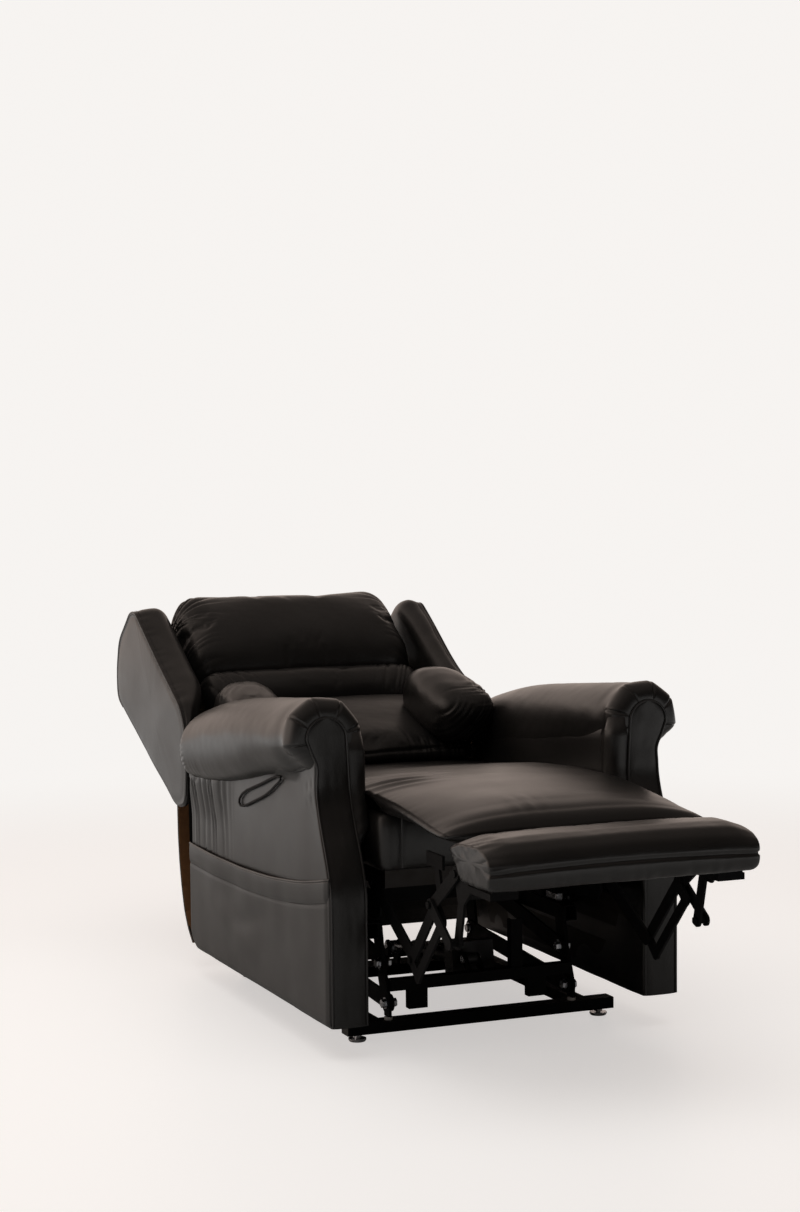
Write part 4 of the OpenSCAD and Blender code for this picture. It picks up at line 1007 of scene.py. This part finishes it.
def makeWing(name, side, seed):
    line = wingOutline(260)
    outer, edge, lean = side["outer"], side["edge"], side["lean"]

    def placed(x, at):
        # the outer side leans in towards the foot, and the padded front rounds off at its foot
        u = at[:, 0]
        x = np.full(len(at), float(x))
        x = x - lean * ramp(-u, -470, -120) * np.clip((x - 300) / 45, 0, 1)
        x = x + wing["footRound"] * (1 - ramp(u, -20, 190)) * np.clip((outer - 4 - x) / 70, 0, 1)
        return backPoints(x, u, at[:, 1])

    rings, centre = [], np.array(wing["centre"], float)
    front = ramp(line[:, 1], 150, 200)
    rim = insetBy(line, edge)
    for keep in (0.04, 0.25, 0.5, 0.72, 0.88, 0.96):
        rings.append((centre + (rim - centre) * keep, outer + 1.6 * (1 - keep**2)))
    for t in np.linspace(0, 1, 6):
        a = t * math.pi / 2
        rings.append((insetBy(line, edge * (1 - math.sin(a))), outer - edge * (1 - math.cos(a))))
    x0, x1 = outer - edge, wing["inner"] + wing["innerEdge"]
    for t in np.linspace(0, 1, 12)[1:]:
        crown = 5.5 * math.sin(math.pi * min(1, t * 0.5 + 0.02)) * front
        rings.append((insetBy(line, -crown * ramp(t, 0, 0.35)), x0 + (x1 - x0) * t))
    for t in np.linspace(0, 1, 10)[1:]:
        a = t * math.pi / 2
        inset = wing["innerEdge"] * (1 - math.cos(a)) - 5.5 * front * (1 - t)
        rings.append((insetBy(line, inset), x1 - wing["innerEdge"] * math.sin(a)))
    inset = insetBy(line, wing["innerEdge"])
    for keep in (0.85, 0.6, 0.35, 0.06):
        rings.append((centre + (inset - centre) * keep, wing["inner"] + 0.3))
    piece = loftPiece(name, np.array([placed(x, l) for l, x in rings]))
    p, n = meshPoints(piece), normalsOf(piece)
    u, v = backUV(p)
    # rings are numbered from the outer side; the first end's pole comes after them all
    ring = np.minimum(np.arange(len(p)) // len(line), len(rings))
    ring[len(rings) * len(line)] = 0
    outerSide = 1 - ramp(ring, 5.5, 11)
    p[:, 0] += outerSide * (1.3 * drift(p, 330, seed) + 0.3 * drift(p, 90, seed + 1)) - 1.3 * (ring == 6)
    # puckers at the foot of the padded front and near the seam
    amount = ((1 - ramp(u, -30, 75)) * 2.6 * (pleats(v * 0.3 + p[:, 0], 15, seed + 2) - 0.6)
              * ramp(v, 120, 175))
    amount += 0.7 * ramp(v, 195, 212) * (pleats(u, 34, seed + 3) - 0.6) * ramp(p[:, 0], 330, 352)
    amount += (1 - outerSide) * 0.8 * drift(p, 150, seed + 4)
    setPoints(piece, p + n * amount[:, None])
    # the seam between side and front runs over the top and down the front
    onSeam = (line[:, 1] > 60) | (line[:, 0] > 440)
    count = len(line)

    def runFrom(i):
        return next((k for k in range(count) if not onSeam[(i + k) % count]), 0)

    first = max(range(count), key=runFrom)
    order = (first + np.arange(runFrom(first))) % count
    seam = placed(outer - edge * 0.31, insetBy(line, edge * 0.25)[order])
    rows = [placed(outer - 1.0, rim[order]), placed(outer - edge - 3.5, insetBy(line, -0.9)[order])]
    return [piece, welt(name + "Welt", [seam], 2.0), stitches(name + "Stitches", rows, 6.0)]


def makeWings():
    for side, seed in (("Right", 61), ("Left", 67)):
        made = makeWing("wing" + side, wing[side], seed)
        if side == "Left":
            for p in made:
                toOtherSide(p)
        settle(made[0], "back", "leather", ["wing_" + side.lower()])
        for p in made[1:]:
            settle(p, "back")
    print("wings made")


makeWings()


backCushions = {
    "headCushion": {
        "outline": [(269, 61), (262, 120), (266, 166), (284, 196), (318, 224), (390, 242), (462, 248),
                    (512, 234), (520, 184), (502, 110), (480, 61)],
        "spine": ((330, 120), (440, 130)), "halfWidth": 267, "endRadius": 62, "endKeep": 0.42, "crown": 8,
        "node": "head_cushion", "fill": 0.75},
    "lumbarCushion": {
        "outline": [(163, 61), (158, 120), (162, 152), (180, 178), (214, 190), (248, 186), (266, 164),
                    (268, 120), (267, 61)],
        "spine": ((195, 110), (235, 110)), "halfWidth": 261, "endRadius": 40, "endKeep": 0.5, "crown": 10,
        "node": "lumbar_cushion", "fill": 0.7},
    "lowerCushion": {
        "outline": [(34, 61), (20, 92), (-60, 132), (-120, 156), (-152, 172), (-160, 192), (-146, 207),
                    (-100, 207), (-50, 206), (30, 197), (110, 181), (150, 162), (162, 142), (161, 61)],
        "spine": ((-80, 168), (120, 110)), "halfWidth": 254, "endRadius": 36, "endKeep": 0.55, "crown": 8,
        "seam": -139, "node": "lower_cushion", "fill": 0.65},
}
cover = {
    "voxel": 0.006, "frames": 20, "limit": 14.0,
    "cloth": {"quality": 6, "mass": 0.35, "tension_stiffness": 18, "compression_stiffness": 18,
              "shear_stiffness": 8, "bending_stiffness": 1.2, "use_pressure": True,
              "uniform_pressure_force": 3.0, "shrink_min": 0.004, "vertex_group_mass": "held"},
}


def cushionLoft(name, cushion, across=90, around=120):
    # one outline all the way across, rounded in at its ends
    line = closedCurve(cushion["outline"], around)
    half, keepEnd = cushion["halfWidth"], cushion["endKeep"]
    s = np.linspace(-1, 1, across)
    rings = []
    for x in half * np.sin(s * math.pi / 2) * 0.35 + half * s * 0.65:
        d = max(0.0, (abs(x) - (half - cushion["endRadius"])) / cushion["endRadius"])
        keep = keepEnd + (1 - keepEnd) * math.sqrt(max(0, 1 - d * d))
        ring = towardSpine(line, cushion["spine"], keep)
        lift = cushion["crown"] * (1 - (x / half) ** 2) * ramp(ring[:, 1], 100, 180)
        rings.append(backPoints(np.full(len(line), x), ring[:, 0], ring[:, 1] + lift))
    return loftPiece(name, rings)


def puff(piece, pins):
    # swells a closed cover with cloth and air pressure, seams held, then keeps the result
    remesh = piece.modifiers.new("even", "REMESH")
    remesh.mode = "VOXEL"
    remesh.voxel_size = cover["voxel"]
    applied(piece)
    before = meshPoints(piece)
    held = np.clip(pins(before), 0, 1)
    group = piece.vertex_groups.new(name="held")
    for level in (0.25, 0.5, 0.75, 1.0):
        index = np.where((held > level - 0.25) & (held <= level))[0]
        if len(index):
            group.add([int(i) for i in index], level, "REPLACE")
    cloth = piece.modifiers.new("cover", "CLOTH")
    for key, value in cover["cloth"].items():
        setattr(cloth.settings, key, value)
    cloth.settings.effector_weights.gravity = 0
    cloth.collision_settings.use_self_collision = False
    cloth.point_cache.frame_start, cloth.point_cache.frame_end = 1, cover["frames"]
    scene = bpy.context.scene
    for f in range(1, cover["frames"] + 1):
        scene.frame_set(f)
    applied(piece)
    scene.frame_set(1)
    after = meshPoints(piece)
    if len(after) == len(before):
        move = after - before
        length = np.linalg.norm(move, axis=1, keepdims=True)
        limit = cover["limit"]
        scale = limit * np.tanh(length / limit) / np.maximum(length, 1e-6)
        setPoints(piece, before + move * scale)
    piece.vertex_groups.clear()
    smooth = piece.modifiers.new("finer", "SUBSURF")
    smooth.levels = smooth.render_levels = 1
    applied(piece)
    piece.data.polygons.foreach_set("use_smooth", [True] * len(piece.data.polygons))


def makeBackCushions():
    for name, c in backCushions.items():
        piece = cushionLoft(name, c)
        puff(piece, lambda p: 1 - ramp(backUV(p)[1], 62, 110))
        p, n = meshPoints(piece), normalsOf(piece)
        u, v = backUV(p)
        x = p[:, 0]
        amount = 1.4 * drift(p * (0.6, 1, 1), 240, len(name)) + 0.25 * drift(p, 55, 7)
        if name == "headCushion":
            # folds fan out from the gathered top corners
            corner = np.exp(-(((np.abs(x) - 250) / 70) ** 2 + ((u - 470) / 60) ** 2))
            fan = np.arctan2(u - 440, np.abs(x) - 285) * 62
            amount += corner * 5.0 * (pleats(fan, 17, 3) - 0.55) * (0.55 + 0.45 * (x < 0))
            ends = ramp(np.abs(x), 178, 250) * hump(u - 300, 60)
            amount += ends * 2.5 * (pleats(u, 22, 4) - 0.5)
        if name == "lumbarCushion":
            fold = hump(np.abs(x) - 196, 44)
            amount += fold * 4.2 * (pleats(np.abs(x) - 0.45 * (u - 210), 19, 9) - 0.55) * ramp(v, 120, 165)
        if name == "lowerCushion":
            # a sewn line low down, with small gathers either side of it
            fromSeam = u - c["seam"]
            amount -= 4.0 * hump(fromSeam, 3.2) * ramp(v, 185, 198)
            near = np.exp(-(np.abs(fromSeam) / 26)) * ramp(v, 150, 190)
            amount += (near * 3.4 * (pleats(x + 0.2 * u, 16, 12) - 0.6)
                       * (0.5 + 0.5 * ramp(np.abs(x), 60, 200)))
        setPoints(piece, p + n * amount[:, None])
        settle(piece, "back", "softLeather", [c["node"]])
        print(name, "made,", len(piece.data.vertices), "points")


makeBackCushions()


pillow = {
    "x": 202, "u": -50, "v": 261, "halfX": 72, "halfU": 121, "halfV": 71, "limit": 268,
    "leanX": -0.10, "leanV": -0.17, "corner": 0.66, "endSeam": -96, "squashTo": 0.62,
    "leftShift": {"x": 38, "u": 24, "v": -30, "limit": 23},
}


def makePillow(name, side, seed):
    # a stuffed pillow that leans in the corner between the wing, the back and the arm
    c = {k: v + pillow["leftShift"].get(k, 0) if side < 0 else v for k,
         v in pillow.items() if k != "leftShift"}
    n, m = 84, 90
    a = np.linspace(0, 2 * math.pi, n, endpoint=False)
    ca, sa = np.cos(a), np.sin(a)
    rings = []
    for ti in np.linspace(0, math.pi, m)[1:-1]:
        h = np.sign(math.cos(ti)) * abs(math.cos(ti)) ** c["corner"]
        r = abs(math.sin(ti)) ** c["corner"]
        u = h * c["halfU"]
        taper = 1 - 0.10 * max(0, h)
        x = c["x"] + c["leanX"] * u + c["halfX"] * r * taper * np.sign(ca) * np.abs(ca) ** 0.78
        v = c["v"] + c["leanV"] * u + c["halfV"] * r * taper * np.sign(sa) * np.abs(sa) ** 0.82
        x = np.minimum(x, c["limit"] + 0.15 * (x - c["limit"]))
        rings.append(backPoints(side * x, np.full(n, c["u"] + u), v))
    piece = loftPiece(name, rings)
    p, nn = meshPoints(piece), normalsOf(piece)
    u, v = backUV(p)
    x = p[:, 0] * side
    amount = 1.6 * drift(p, 150, seed) + 0.3 * drift(p, 45, seed + 1)
    u = u - c["u"] + pillow["u"]
    v = v - c["v"] + pillow["v"]
    calm = 1.0 if side > 0 else 0.45
    seam = u + 0.16 * (v - 250) - c["endSeam"]
    lower = ramp(-seam, -4, 30)
    amount -= 2.6 * hump(seam, 2.4) * ramp(x, 150, 200)
    endSeam = x - 246 + 0.0016 * (v - 262) ** 2
    amount -= calm * 2.8 * hump(endSeam, 2.6) * (1 - lower)
    amount += calm * ramp(-u, 92, 140) * 2.6 * (pleats(x - 0.7 * v, 15, seed + 2) - 0.58) * lower
    corner = np.exp(-((x - 250) / 34) ** 2 - ((u + 110) / 46) ** 2)
    amount += calm * corner * 3.4 * (pleats(v + 0.5 * u, 13, seed + 3) - 0.55)
    amount += calm * ramp(x, 215, 262) * 1.5 * (pleats(v + 0.1 * u, 19, seed + 4) - 0.5) * (1 - lower)
    if side < 0:
        amount += 2.0 * ramp(v, 262, 300) * (pleats(x + 0.9 * u, 27, seed + 5) - 0.5)
    setPoints(piece, p + nn * amount[:, None])
    settle(piece, "back", "softLeather", ["bolster_left" if side < 0 else "bolster_right"])
    top, foot = inMetres([backPoints(side * 193, 52, 230), backPoints(side * 193, -172, 260)])
    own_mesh(piece)


makePillow("pillowRight", 1, 71)
makePillow("pillowLeft", -1, 77)
print("side pillows made")


chaise = {
    "halfWidth": 256, "cut": -176, "hinges": [(0, -112, 460), (0, -240, 450)],
    "edge": [(-398, 447), (-373, 447), (-240, 462), (-150, 473), (-65, 477), (0, 476), (100, 473),
             (200, 467), (300, 458), (400, 449), (500, 442), (604, 436)],
    "crown": [(-398, 448), (-390, 463), (-366, 478), (-320, 489), (-240, 497), (-100, 503), (0, 502),
              (100, 496), (200, 484), (300, 471), (400, 459), (500, 449), (604, 441)],
    "under": [(-398, 443), (-385, 424), (-360, 412), (-200, 410), (-130, 424), (-108, 438), (300, 438),
              (400, 428), (604, 420)],
    "side": [(-398, 5), (-300, 7), (-200, 12), (-130, 24), (-60, 28), (200, 20), (604, 12)],
    "wrinkles": ((-20, -190, 0.30, 4.0), (-52, -196, 0.22, 3.4), (22, -170, 0.38, 2.8),
                 (-88, -206, 0.12, 2.4)),
    "puckers": ((-92, 2.2), (-66, 2.8), (-36, 1.4)),
}


def chaiseLine(name, y):
    return curveThrough(chaise[name], y)


def makeChaise():
    half = 56
    s = np.linspace(-1, 1, half)
    bottomS = np.linspace(1, -1, half)[1:-1]
    rings = []
    for y in np.r_[np.linspace(604, -340, 150), np.linspace(-346, -398, 16)]:
        edge, crown, under, side = (float(chaiseLine(k, y)) for k in ("edge", "crown", "under", "side"))
        w = chaise["halfWidth"] - 26 * float(ramp(y, 470, 600)) - 3 * float(1 - ramp(y, -398, -380))
        top = edge + (crown - edge) * np.clip(1 - np.abs(s) ** 3.0, 0, 1) ** 0.75
        low = under + (max(edge - side, under) - under) * np.abs(bottomS) ** 3.2
        x = np.r_[s * w, bottomS * (w - 4)]
        rings.append(np.stack([x, np.full(len(x), y), np.r_[top, low]], -1))
    piece = loftPiece("chaise", rings)
    p, n = meshPoints(piece), normalsOf(piece)
    x, y = p[:, 0], p[:, 1]
    up = ramp(p[:, 2] - chaiseLine("edge", y), -14, 4)
    amount = 1.5 * drift(p, 300, 21) * up
    # long soft wrinkles that run in from the left edge, just ahead of the seat front
    for cy, cx, tilt, size in chaise["wrinkles"]:
        line = y - cy + tilt * (x - cx)
        reach = hump(x - cx, 70)
        amount += up * size * hump(line, 9) * reach
        amount -= up * size * 0.6 * hump(line - 15, 10) * reach
    # short puckers across the front
    for cx, size in chaise["puckers"]:
        line = x - cx - 0.15 * (y + 330)
        amount += up * size * hump(line, 6) * hump(y + 330, 40)
    edgeNear = np.exp(-np.abs(np.abs(x) - 250) / 12)
    amount += edgeNear * 0.7 * (pleats(y, 24, 31) - 0.6) * (y < 380)
    setPoints(piece, p + n * amount[:, None])
    return piece


def splitAt(piece, y, keepFront, name):
    # a copy cut at y; the cut edge is left open inside the body that both halves share
    half = piece.copy()
    half.data = piece.data.copy()
    half.name = half.data.name = name
    addToScene(half)
    bm = bmesh.new()
    bm.from_mesh(half.data)
    cut = Vector(inMetres([(0, y, 0)])[0])
    bmesh.ops.bisect_plane(bm, geom=bm.verts[:] + bm.edges[:] + bm.faces[:], plane_co=cut, plane_no=(0, 1, 0),
                           clear_outer=keepFront, clear_inner=not keepFront)
    bm.to_mesh(half.data)
    bm.free()
    return half


def dressChaise():
    whole = makeChaise()
    rear = splitAt(whole, chaise["cut"], False, "seatCushion")
    front = splitAt(whole, chaise["cut"], True, "legCushion")
    bpy.data.objects.remove(whole)
    for piece, nodes in ((rear, ("seat_pad", "flap_pad_upper")), (front, ("flap_pad_lower",))):
        dress(piece, "softLeather")
        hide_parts(*nodes)
    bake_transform(rear)
    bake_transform(front)
    print("seat and leg cushion made")


dressChaise()


seatFront = {
    "halfWidth": 254, "front": -110, "back": 440, "corner": 22, "seamX": 214,
    "profile": [(-13, 344), (-6, 340.5), (0, 341), (4, 344), (6.5, 352), (8, 372), (8.5, 395), (7, 420),
                (4, 438), (0, 444), (-6, 446), (-13, 445)],
}


def makeSeatFront():
    # the boxed front and sides under the seat cushion
    w, front, back, corner = (seatFront[k] for k in ("halfWidth", "front", "back", "corner"))
    turn = []
    for a in np.radians(np.linspace(0, 90, 8)):
        turn.append((-w + corner - corner * math.cos(a), front + corner - corner * math.sin(a)))
    line = [(-w, y) for y in np.linspace(back, front + corner + 4, 60)] + turn
    line += [(x, front) for x in np.linspace(-w + corner + 4, w - corner - 4, 74)]
    line += [(-x, y) for x, y in reversed(turn)]
    line += [(w, y) for y in np.linspace(front + corner + 4, back, 60)]
    line = np.array(line)
    ahead = np.gradient(line, axis=0)
    out = np.stack([ahead[:, 1], -ahead[:, 0]], -1)
    out /= np.linalg.norm(out, axis=1, keepdims=True)
    s = np.r_[0, np.cumsum(np.linalg.norm(np.diff(line, axis=0), axis=1))]
    seamX = seatFront["seamX"]
    seam = hump(line[:, 0] + seamX, 3) + hump(line[:, 0] - seamX, 3)
    seam = seam * (line[:, 1] < front + corner)
    grid = []
    for d, z in seatFront["profile"]:
        base = np.stack([line[:, 0], line[:, 1], np.full(len(line), z)], -1)
        body = max(0.0, min(1.0, (d + 6) / 12))
        gathers = 1.5 * (pleats(s, 31, 43) - 0.6) * (1 - ramp(z, 350, 400))
        swell = d - 6 - 5 * seam * body + body * (1.6 * drift(base, 110, 41) + gathers)
        base[:, :2] += out * swell[:, None]
        grid.append(base)
    piece = loftPiece("seatFront", np.array(grid).transpose(1, 0, 2))
    settle(piece, "seat_carriage", "leather", ["seat_border"])
    heights = np.linspace(346, 440, 12)
    seams = [np.stack([np.full(12, x), np.full(12, front - 4.5), heights], -1) for x in (-seamX, seamX)]
    settle(welt("seatFrontSeam", seams, 1.1), "seat_carriage")


def makeFoam():
    lo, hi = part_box("seat_core")
    lo, hi = np.array(lo) * 1000 + (0, midY, 0), np.array(hi) * 1000 + (0, midY, -18)
    line = closedCurve([(lo[0], lo[1]), (hi[0], lo[1]), (hi[0], hi[1]), (lo[0], hi[1])], 80)
    centre = np.array([(lo[0] + hi[0]) / 2, (lo[1] + hi[1]) / 2])
    rings = []
    for keep, z in ((0.3, lo[2] + 0.5), (0.97, lo[2] + 0.5), (0.99, lo[2] + 6), (1.0, (lo[2] + hi[2]) / 2),
                    (0.99, hi[2] - 6), (0.97, hi[2] - 0.5), (0.3, hi[2] - 0.5)):
        rings.append(np.c_[centre + (line - centre) * keep, np.full(len(line), z)])
    settle(loftPiece("seatFoam", rings), "seat_carriage", "foam", ["seat_core"])


makeSeatFront()
makeFoam()
print("seat front and foam made")


footrest = {
    "outline": [(-582, 380), (-590, 388), (-594, 400), (-594.5, 413), (-592.5, 428), (-585, 443), (-568, 455),
                (-540, 461), (-500, 461), (-462, 456), (-432, 446), (-424, 437), (-434, 420), (-452, 400),
                (-468, 384), (-476, 379.5), (-574, 379.5)],
    "halfWidth": 256, "spine": ((-550, 425), (-470, 425)), "endSpine": ((-550, 425), (-470, 420)),
}


def makeFootrest():
    line = evenly(footrest["outline"], 130, True)
    for _ in range(3):
        line = (np.roll(line, 1, 0) + line * 2 + np.roll(line, -1, 0)) / 4
    w = footrest["halfWidth"]
    end = np.array([14, 8, 4, 1.5])
    rings = []
    for x in np.r_[-w, -w + end[::-1], np.linspace(-w + 22, w - 22, 90), w - end, w]:
        t = abs(x) / w
        keep = 1 - 0.10 * max(0, (abs(x) - (w - 14)) / 14) ** 2
        ring = towardSpine(line, footrest["spine"], keep)
        lift = ramp(ring[:, 1], 415, 455) * (6 * (1 - t**2) - 9 * ramp(t, 0.82, 1.0))
        rings.append(np.stack([np.full(len(ring), x), ring[:, 0], ring[:, 1] + lift], -1))
    ends = []
    for sign, base in ((-1, rings[0]), (1, rings[-1])):
        stack = []
        for keep in (0.85, 0.55, 0.2):
            q = towardSpine(base[:, 1:], footrest["endSpine"], keep)
            stack.append(np.c_[np.full(len(q), base[0, 0] + sign * 1.5 * (1 - keep)), q])
        ends.append(stack)
    piece = loftPiece("footrestPad", ends[0][::-1] + rings + ends[1])
    p, n = meshPoints(piece), normalsOf(piece)
    x, y, z = p.T
    amount = 1.2 * drift(p * (0.7, 1, 1), 200, 51) + 0.25 * drift(p, 50, 52)
    seamZ = 412 + 6 * (1 - (x / w) ** 2)
    onFront = ramp(-y, 572, 590)
    amount -= 4.6 * onFront * hump(z - seamZ, 2.8)
    below = onFront * (z < seamZ)
    amount += below * 2.0 * (pleats(x, 38, 53) - 0.6) * np.exp(-np.abs(z - 392) / 16)
    amount += onFront * 1.0 * (pleats(x, 29, 54) - 0.6) * np.exp(-np.abs(z - seamZ) / 9)
    # drag lines from the corner of the end panel
    left = hump(x + 250, 26)
    amount += left * 1.6 * (pleats(z + 0.4 * y, 17, 55) - 0.6)
    rearTop = ramp(-y, 520, 440) * ramp(z, 430, 452)
    amount += rearTop * 0.8 * (pleats(x, 44, 56) - 0.6)
    setPoints(piece, p + n * amount[:, None])
    settle(piece, "footrest", "softLeather", ["footrest_pad"])
    print("footrest made")


makeFootrest()


outsideBack = {"halfWidth": 279, "from": 8, "to": 484}
skirt = {
    "halfWidth": 339, "hem": (72, -6.9),
    "line": [(853, 330), (851, 276), (844, 222), (831, 168), (813, 117), (789, 82), (759, 57)],
}


def makeOutsideBack():
    w = outsideBack["halfWidth"]
    low, high = outsideBack["from"], outsideBack["to"]
    u, x = np.meshgrid(np.linspace(low, high, 70), np.linspace(-1, 1, 60) * w, indexing="ij")
    bulge = 7 * (1 - (x / w) ** 4) * arch((u - low) / (high - low)) ** 0.6
    flat = np.stack([x, u, u * 0], -1)
    v = -3 - bulge + 1.5 * drift(flat, 260, 91) - 0.012 * u
    piece = makeShell("outsideBack", backPoints(x, u, v), backPoints(x, u, np.full_like(u, 1.5)))
    settle(piece, "back", "leather", ["outside_back"])


def makeSkirt():
    half = skirt["halfWidth"]
    yTop, zTop = onBack(*skirt["hem"])
    dense = evenly([(float(yTop), float(zTop))] + skirt["line"], 60)
    for _ in range(4):
        dense[1:-1] = (dense[:-2] + 2 * dense[1:-1] + dense[2:]) / 4
    t = np.gradient(dense, axis=0)
    out = np.stack([-t[:, 1], t[:, 0]], -1)
    out /= np.linalg.norm(out, axis=1, keepdims=True)
    outer, inner = [], []
    for x in np.linspace(-1, 1, 70) * half:
        column = np.full(len(dense), x)
        thick = 3.2 + 0.9 * drift(np.c_[column, dense], 240, 95) - 1.6 * (1 - ramp(half - abs(x), 0, 5))
        outer.append(np.c_[column, dense + out * thick[:, None]])
        inner.append(np.c_[column, dense + out * 0.6])
    piece = makeShell("rearSkirt", np.array(outer), np.array(inner))
    settle(piece, "skirt", "leather", ["rear_skirt"])
    edges = [np.c_[np.full(len(dense), side * (half - 0.5)), dense + out * 0.3] for side in (-1, 1)]
    bottom = dense[-1]
    edges.append(np.array([(x, bottom[0], bottom[1] + 1.5) for x in np.linspace(-half, half, 60)]))
    trim = welt("skirtWelt", edges, 3.2)
    settle(trim, "skirt")


makeOutsideBack()
makeSkirt()


room = {
    "backdrop": (0.927, 0.902, 0.879), "nearGlow": (0.562, 0.541, 0.530), "floorTint": (0.60, 0.63, 0.64),
    "wallLight": (1.0, 0.825, 0.725), "wallFacing": (-0.42, 0.907, 0), "wall": 0.90, "dim": 0.034,
    "roof": 0.155,
    "floorReach": 9000, "fadeStart": 1.5, "fadeEnd": 3.6,
    "profile": ((0.0, 0.85), (0.12, 1.25), (0.30, 1.15), (0.48, 0.62), (0.7, 0.3), (0.97, 0.0)),
}
lamps = {
    "overhead": {"at": (-0.5, -0.5, 3.4), "aim": (-0.1, -0.1, 0.0), "size": (3.6, 3.6), "power": 52,
                 "tint": (1, 0.97, 0.94), "mirrored": False},
    "leftBank": {"at": (-3.6, 0.9, 1.9), "aim": (0, 0.2, 0.5), "size": (1.6, 2.4), "power": 7,
                 "tint": (1, 0.86, 0.76), "mirrored": True},
}


def makeFloor():
    reach = room["floorReach"]
    corners = [(-reach, -reach, 0), (reach, -reach, 0), (reach, reach, 0), (-reach, reach, 0)]
    floor = makePiece("floor", corners, [[0, 1, 2, 3]], False)
    material, tree, shader = startMaterial("paleFloor")
    setInputs(shader, Base_Color=(*room["floorTint"], 1), Roughness=0.5, Specular_IOR_Level=0.25,
              Emission_Color=(*room["nearGlow"], 1))
    out = tree.nodes["Material Output"]
    glow = addNode(tree, "Emission", Color=(*room["backdrop"], 1))
    far = addNode(tree, "VectorMath", operation="LENGTH")
    mask = addNode(tree, "MapRange", interpolation_type="SMOOTHSTEP",
                   From_Min=room["fadeStart"], From_Max=room["fadeEnd"])
    path = addNode(tree, "LightPath")
    seen = addMaths(tree, "MAXIMUM")
    both = addMaths(tree, "MULTIPLY")
    mix = addNode(tree, "MixShader")
    lieOnObject(tree, far)
    joinUp(tree, (far, "Value", mask, "Value"),
           (path, "Is Camera Ray", seen, 0), (path, "Is Glossy Ray", seen, 1),
           (path, "Is Camera Ray", shader, "Emission Strength"),
           (mask, 0, both, 0), (seen, 0, both, 1), (both, 0, mix, 0),
           (shader, 0, mix, 1), (glow, 0, mix, 2), (mix, 0, out, "Surface"))
    floor.data.materials.append(material)


def makeSky():
    # white to the camera; as a light, a bright wall behind and to the left and a dim room in front
    world = bpy.data.worlds.new("studio")
    bpy.context.scene.world = world
    world.use_nodes = True
    tree = world.node_tree
    tree.nodes.clear()
    out = addNode(tree, "OutputWorld")
    seen = addNode(tree, "Background", Color=(*room["backdrop"], 1))
    light = addNode(tree, "Background", Color=(*room["wallLight"], 1))
    where = addNode(tree, "TexCoord")
    toWall = addNode(tree, "VectorMath", operation="DOT_PRODUCT", _1=room["wallFacing"])
    wall = addNode(tree, "MapRange", interpolation_type="SMOOTHSTEP", From_Min=-0.08, From_Max=0.75)
    parts = addNode(tree, "SeparateXYZ")
    low = addNode(tree, "ValToRGB")
    low.color_ramp.interpolation = "B_SPLINE"
    stops = low.color_ramp.elements
    while len(stops) < len(room["profile"]):
        stops.new(0.5)
    for stop, (z, level) in zip(stops, room["profile"]):
        stop.position = z
        stop.color = (level, level, level, 1)
    both = addMaths(tree, "MULTIPLY")
    level = addMaths(tree, "MULTIPLY_ADD", _1=room["wall"], _2=room["dim"])
    roof = addNode(tree, "MapRange", From_Min=0.3, From_Max=0.85, To_Max=room["roof"])
    total = addMaths(tree, "ADD")
    path = addNode(tree, "LightPath")
    most = addMaths(tree, "MAXIMUM")
    mix = addNode(tree, "MixShader")
    joinUp(tree, (where, "Generated", toWall, 0), (toWall, "Value", wall, "Value"),
           (where, "Generated", parts, 0), (parts, "Z", low, 0),
           (wall, 0, both, 0), (low, 0, both, 1), (both, 0, level, 0),
           (parts, "Z", roof, "Value"), (level, 0, total, 0), (roof, 0, total, 1),
           (total, 0, light, "Strength"),
           (path, "Is Camera Ray", most, 0), (path, "Is Transmission Ray", most, 1),
           (most, 0, mix, 0), (light, 0, mix, 1), (seen, 0, mix, 2), (mix, 0, out, "Surface"))


def makeLamps():
    for name, lamp in lamps.items():
        data = bpy.data.lights.new(name, "AREA")
        data.shape = "RECTANGLE"
        data.size, data.size_y = lamp["size"]
        data.energy = lamp["power"]
        data.color = lamp["tint"]
        light = addToScene(bpy.data.objects.new(name, data))
        light.visible_glossy = lamp["mirrored"]
        light.location = lamp["at"]
        light.rotation_mode = "QUATERNION"
        light.rotation_quaternion = (Vector(lamp["aim"]) - Vector(lamp["at"])).to_track_quat("-Z", "Y")


def makeRoom():
    bpy.context.scene.view_settings.view_transform = "Standard"
    makeFloor()
    makeSky()
    makeLamps()
    print("room lit")


makeRoom()
